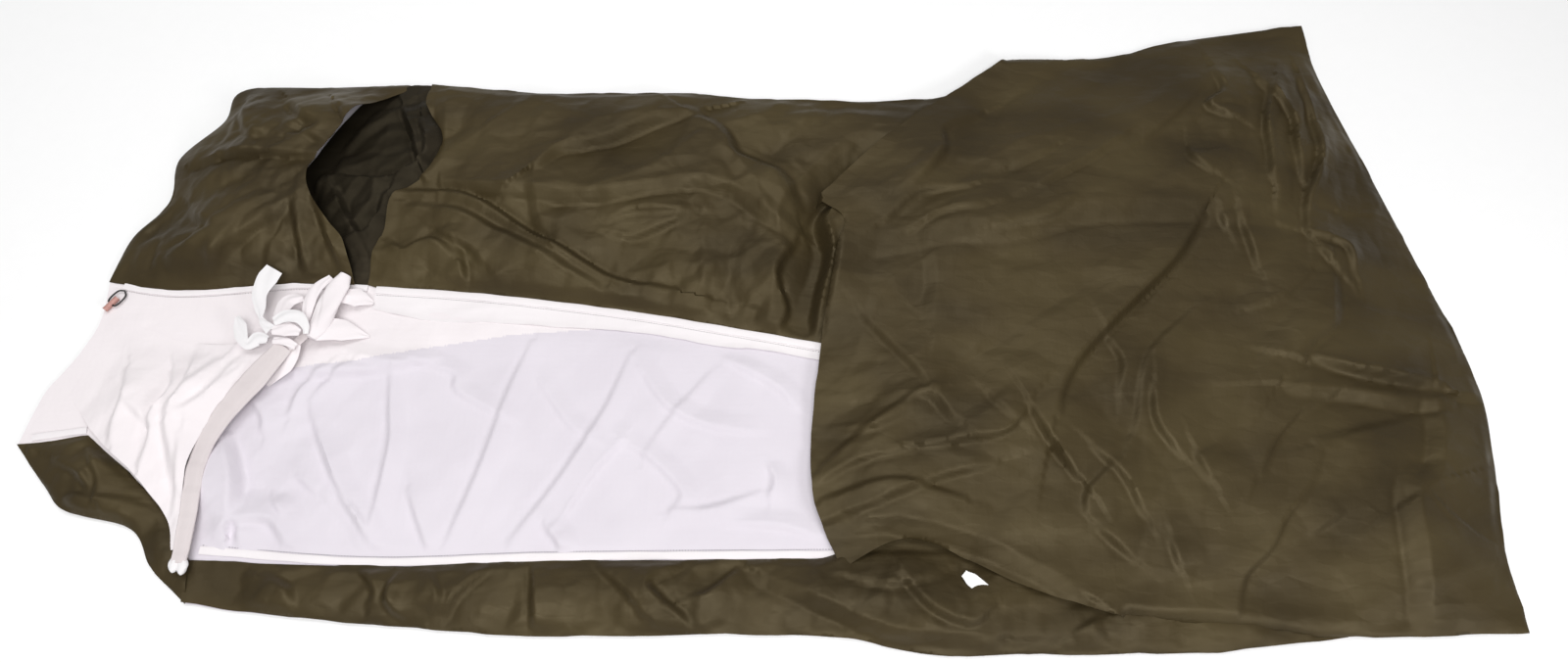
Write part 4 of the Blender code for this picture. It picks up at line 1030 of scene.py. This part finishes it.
def make_casing():
    line = spline(CASING_ROUTE, 0.003)

    def section(t):
        s = t * 0.36
        wide = float(np.interp(t, [0, 0.1, 0.5, 0.82, 1], [0.021, 0.024, CASING_WIDTH, 0.040, 0.030]))
        ring = oval(wide, 0.0080, 0.8, 28)
        upper = ring[:, 1] > 0
        across = ring[:, 0] / wide
        ring[:, 1] += upper * (0.0005 * sin(s * 260) * sin(s * 71) + 0.0005 * sin(s * 140 + 1))
        ring[:, 1] += upper * 0.0016 * np.exp(-((across + 0.42) / 0.07) ** 2)
        ring[:, 1] -= upper * 0.0016 * np.exp(-((across - 0.36) / 0.035) ** 2)
        return ring

    casing = sweep("drawstring_casing_tube", line, section)
    finish(casing, CASING, "casing_cotton", "neck_flap", ["drawstring_casing"])
    for name, place in (("casing_end_near", (-0.8185, -0.4220, 0.0222)), ("casing_end_side", (-0.8065, -0.4250, 0.0214))):
        end = [(place[0], place[1] + 0.011 - 0.002 * k, place[2]) for k in range(12)]

        def lobe(t):
            ring = oval(0.0150, 0.0105, 0.9, 24) * max(0.15, sin(pi * min(0.15 + 0.85 * t, 0.995)) ** 0.5)
            angles = np.arctan2(ring[:, 1], ring[:, 0])
            return ring * (1 + 0.07 * np.cos(5 * angles + 9 * t))[:, None]

        finish(sweep(name, end, lobe), TAPE, "casing_cotton", "neck_flap")

    def twisted(t):
        angles = np.arange(40) * 2 * pi / 40
        folds = 1 + 0.10 * np.cos(3 * angles + 7 * t) - 0.16 * np.exp(-((angles - 1.2 - 2.4 * t) / 0.16) ** 2)
        wide = float(np.interp(t, [0, 0.15, 0.5, 0.85, 1], [0.016, 0.030, 0.035, 0.031, 0.018]))
        x = wide / 2 * folds * np.cos(angles)
        y = 0.0068 * folds * np.sin(angles)
        return np.stack([x, np.clip(y, -0.0040, 1)], 1)

    roll = sweep("casing_far_roll", spline(ROLL_ROUTE, 0.002), twisted)
    finish(roll, WARM_LIT_COTTON, "casing_cotton", "neck_flap")


def make_tapes():
    """Tape ends, the knot and the loose folds about it: each a cupped strip of cloth whose width varies."""
    looks = {"tape": (TAPE, "tape_cotton"), "warm_lit": (WARM_LIT_COTTON, "neck_cotton"), "casing": (CASING, "casing_cotton")}
    for name, body, nodes, look, cup, route, widths in TAPES:
        line = spline(route, 0.0025)
        stations = np.linspace(0, 1, len(widths))
        half = np.linspace(-0.5, 0.5, 11)

        def section(t):
            arch = cup * (1 - 2 * np.abs(half)) ** 0.9 * (1 - 0.6 * t) + 0.0006 * np.sin(9 * half + 7 * t)
            wide = half * float(np.interp(t, stations, widths))
            upper = np.stack([wide, arch + 0.0003], 1)
            lower = np.stack([wide[::-1], arch[::-1] - 0.0003], 1)
            return np.vstack([upper, lower])[::-1]

        piece = sweep(name, line, section)
        material, slot = looks[look]
        finish(piece, material, slot, body, nodes)


def make_label():
    low, high = (np.array(c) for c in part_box("care_label"))
    root = np.array([0.296, -0.434])
    along = np.array([cos(-0.72), sin(-0.72)])
    across = np.array([-along[1], along[0]])
    top = high[2]

    def place(u, v, z):
        return (*(root + along * u + across * v), z)

    verts, faces = [], []
    rows = 14
    for side in (0, 1):
        for i in range(rows + 1):
            u = 0.042 * i / rows
            half = 0.0055 + 0.0042 * rise(i / 5)
            for j in range(7):
                v = half * (j / 3 - 1)
                curl = 0.0010 * sin(3.0 * i / rows) + 0.0004 * (j / 3 - 1) ** 2
                verts.append(place(u, v, top - 0.0004 * side + curl))
    count = (rows + 1) * 7
    for i in range(rows):
        for j in range(6):
            a = i * 7 + j
            faces += [(a, a + 7, a + 8, a + 1), (a + count, a + count + 1, a + count + 8, a + count + 7)]
    for i in range(rows):
        faces += [(i * 7, i * 7 + count, i * 7 + 7 + count, i * 7 + 7),
                  (i * 7 + 6, i * 7 + 13, i * 7 + 13 + count, i * 7 + 6 + count)]
    for j in range(6):
        faces += [(j, j + 1, j + 1 + count, j + count),
                  (rows * 7 + j, rows * 7 + j + count, rows * 7 + j + 1 + count, rows * 7 + j + 1)]
    label = mesh_object("care_label_tag", verts, faces)
    finish(label, SATIN, "label_satin", "care_label", ["care_label"])


def make_toggle_look():
    for node, material in (("toggle", WOOD), ("toggle_loop", CORD)):
        obj = frame["nodes"][node]
        for slot in obj.material_slots:
            slot.material = material
    for node, material in (("draw_tape", CASING), ("foot_seam_allowance", GROUND)):
        for slot in frame["nodes"][node].material_slots:
            slot.material = material


# Floor, light and camera

def make_stage():
    bpy.ops.mesh.primitive_plane_add(size=14, location=(0, 0, -0.0005))
    floor = bpy.context.object
    floor.name = "floor"
    floor.data.materials.append(FLOOR)

    def area(name, place, size, power):
        light = bpy.data.lights.new(name, "AREA")
        light.shape = "RECTANGLE"
        light.size, light.size_y = size
        light.energy = power
        obj = bpy.data.objects.new(name, light)
        obj.location = place
        obj.rotation_euler = aim(place, (0.05, 0.0, 0.0))
        bpy.context.scene.collection.objects.link(obj)

    area("softbox_near", (0.0, -1.8, 3.5), (2.6, 1.4), 84)
    area("softbox_above", (-0.7, 1.1, 3.6), (3.0, 2.0), 54)
    area("softbox_side", (1.9, -2.2, 1.7), (1.0, 0.8), 24)
    world = bpy.data.worlds.new("studio")
    world.use_nodes = True
    world.node_tree.nodes["Background"].inputs["Color"].default_value = (1, 1, 1, 1)
    world.node_tree.nodes["Background"].inputs["Strength"].default_value = 0.29
    bpy.context.scene.world = world
    bpy.context.scene.view_settings.view_transform = "Standard"


def aim(place, target):
    """The rotation that points a camera or light from one point at another, with +Y up in the picture."""
    way = np.array(target) - np.array(place)
    flat = np.hypot(way[0], way[1])
    return (pi / 2 + atan2(way[2], flat), 0, atan2(way[1], way[0]) - pi / 2)


def make_camera():
    data = bpy.data.cameras.new("camera")
    data.lens = CAMERA_LENS
    data.sensor_width = 36
    camera = bpy.data.objects.new("camera", data)
    camera.location = CAMERA_PLACE
    camera.rotation_euler = aim(CAMERA_PLACE, CAMERA_TARGET)
    bpy.context.scene.collection.objects.link(camera)
    bpy.context.scene.camera = camera


make_camera()
make_stage()
sack = make_ground()
make_liner(sack)
make_trim()
make_far_panel()
make_near_panel()
make_near_head_panel()
make_gusset()
make_hood()
make_cover()
make_flap()
make_casing()
make_tapes()
make_label()
make_toggle_look()
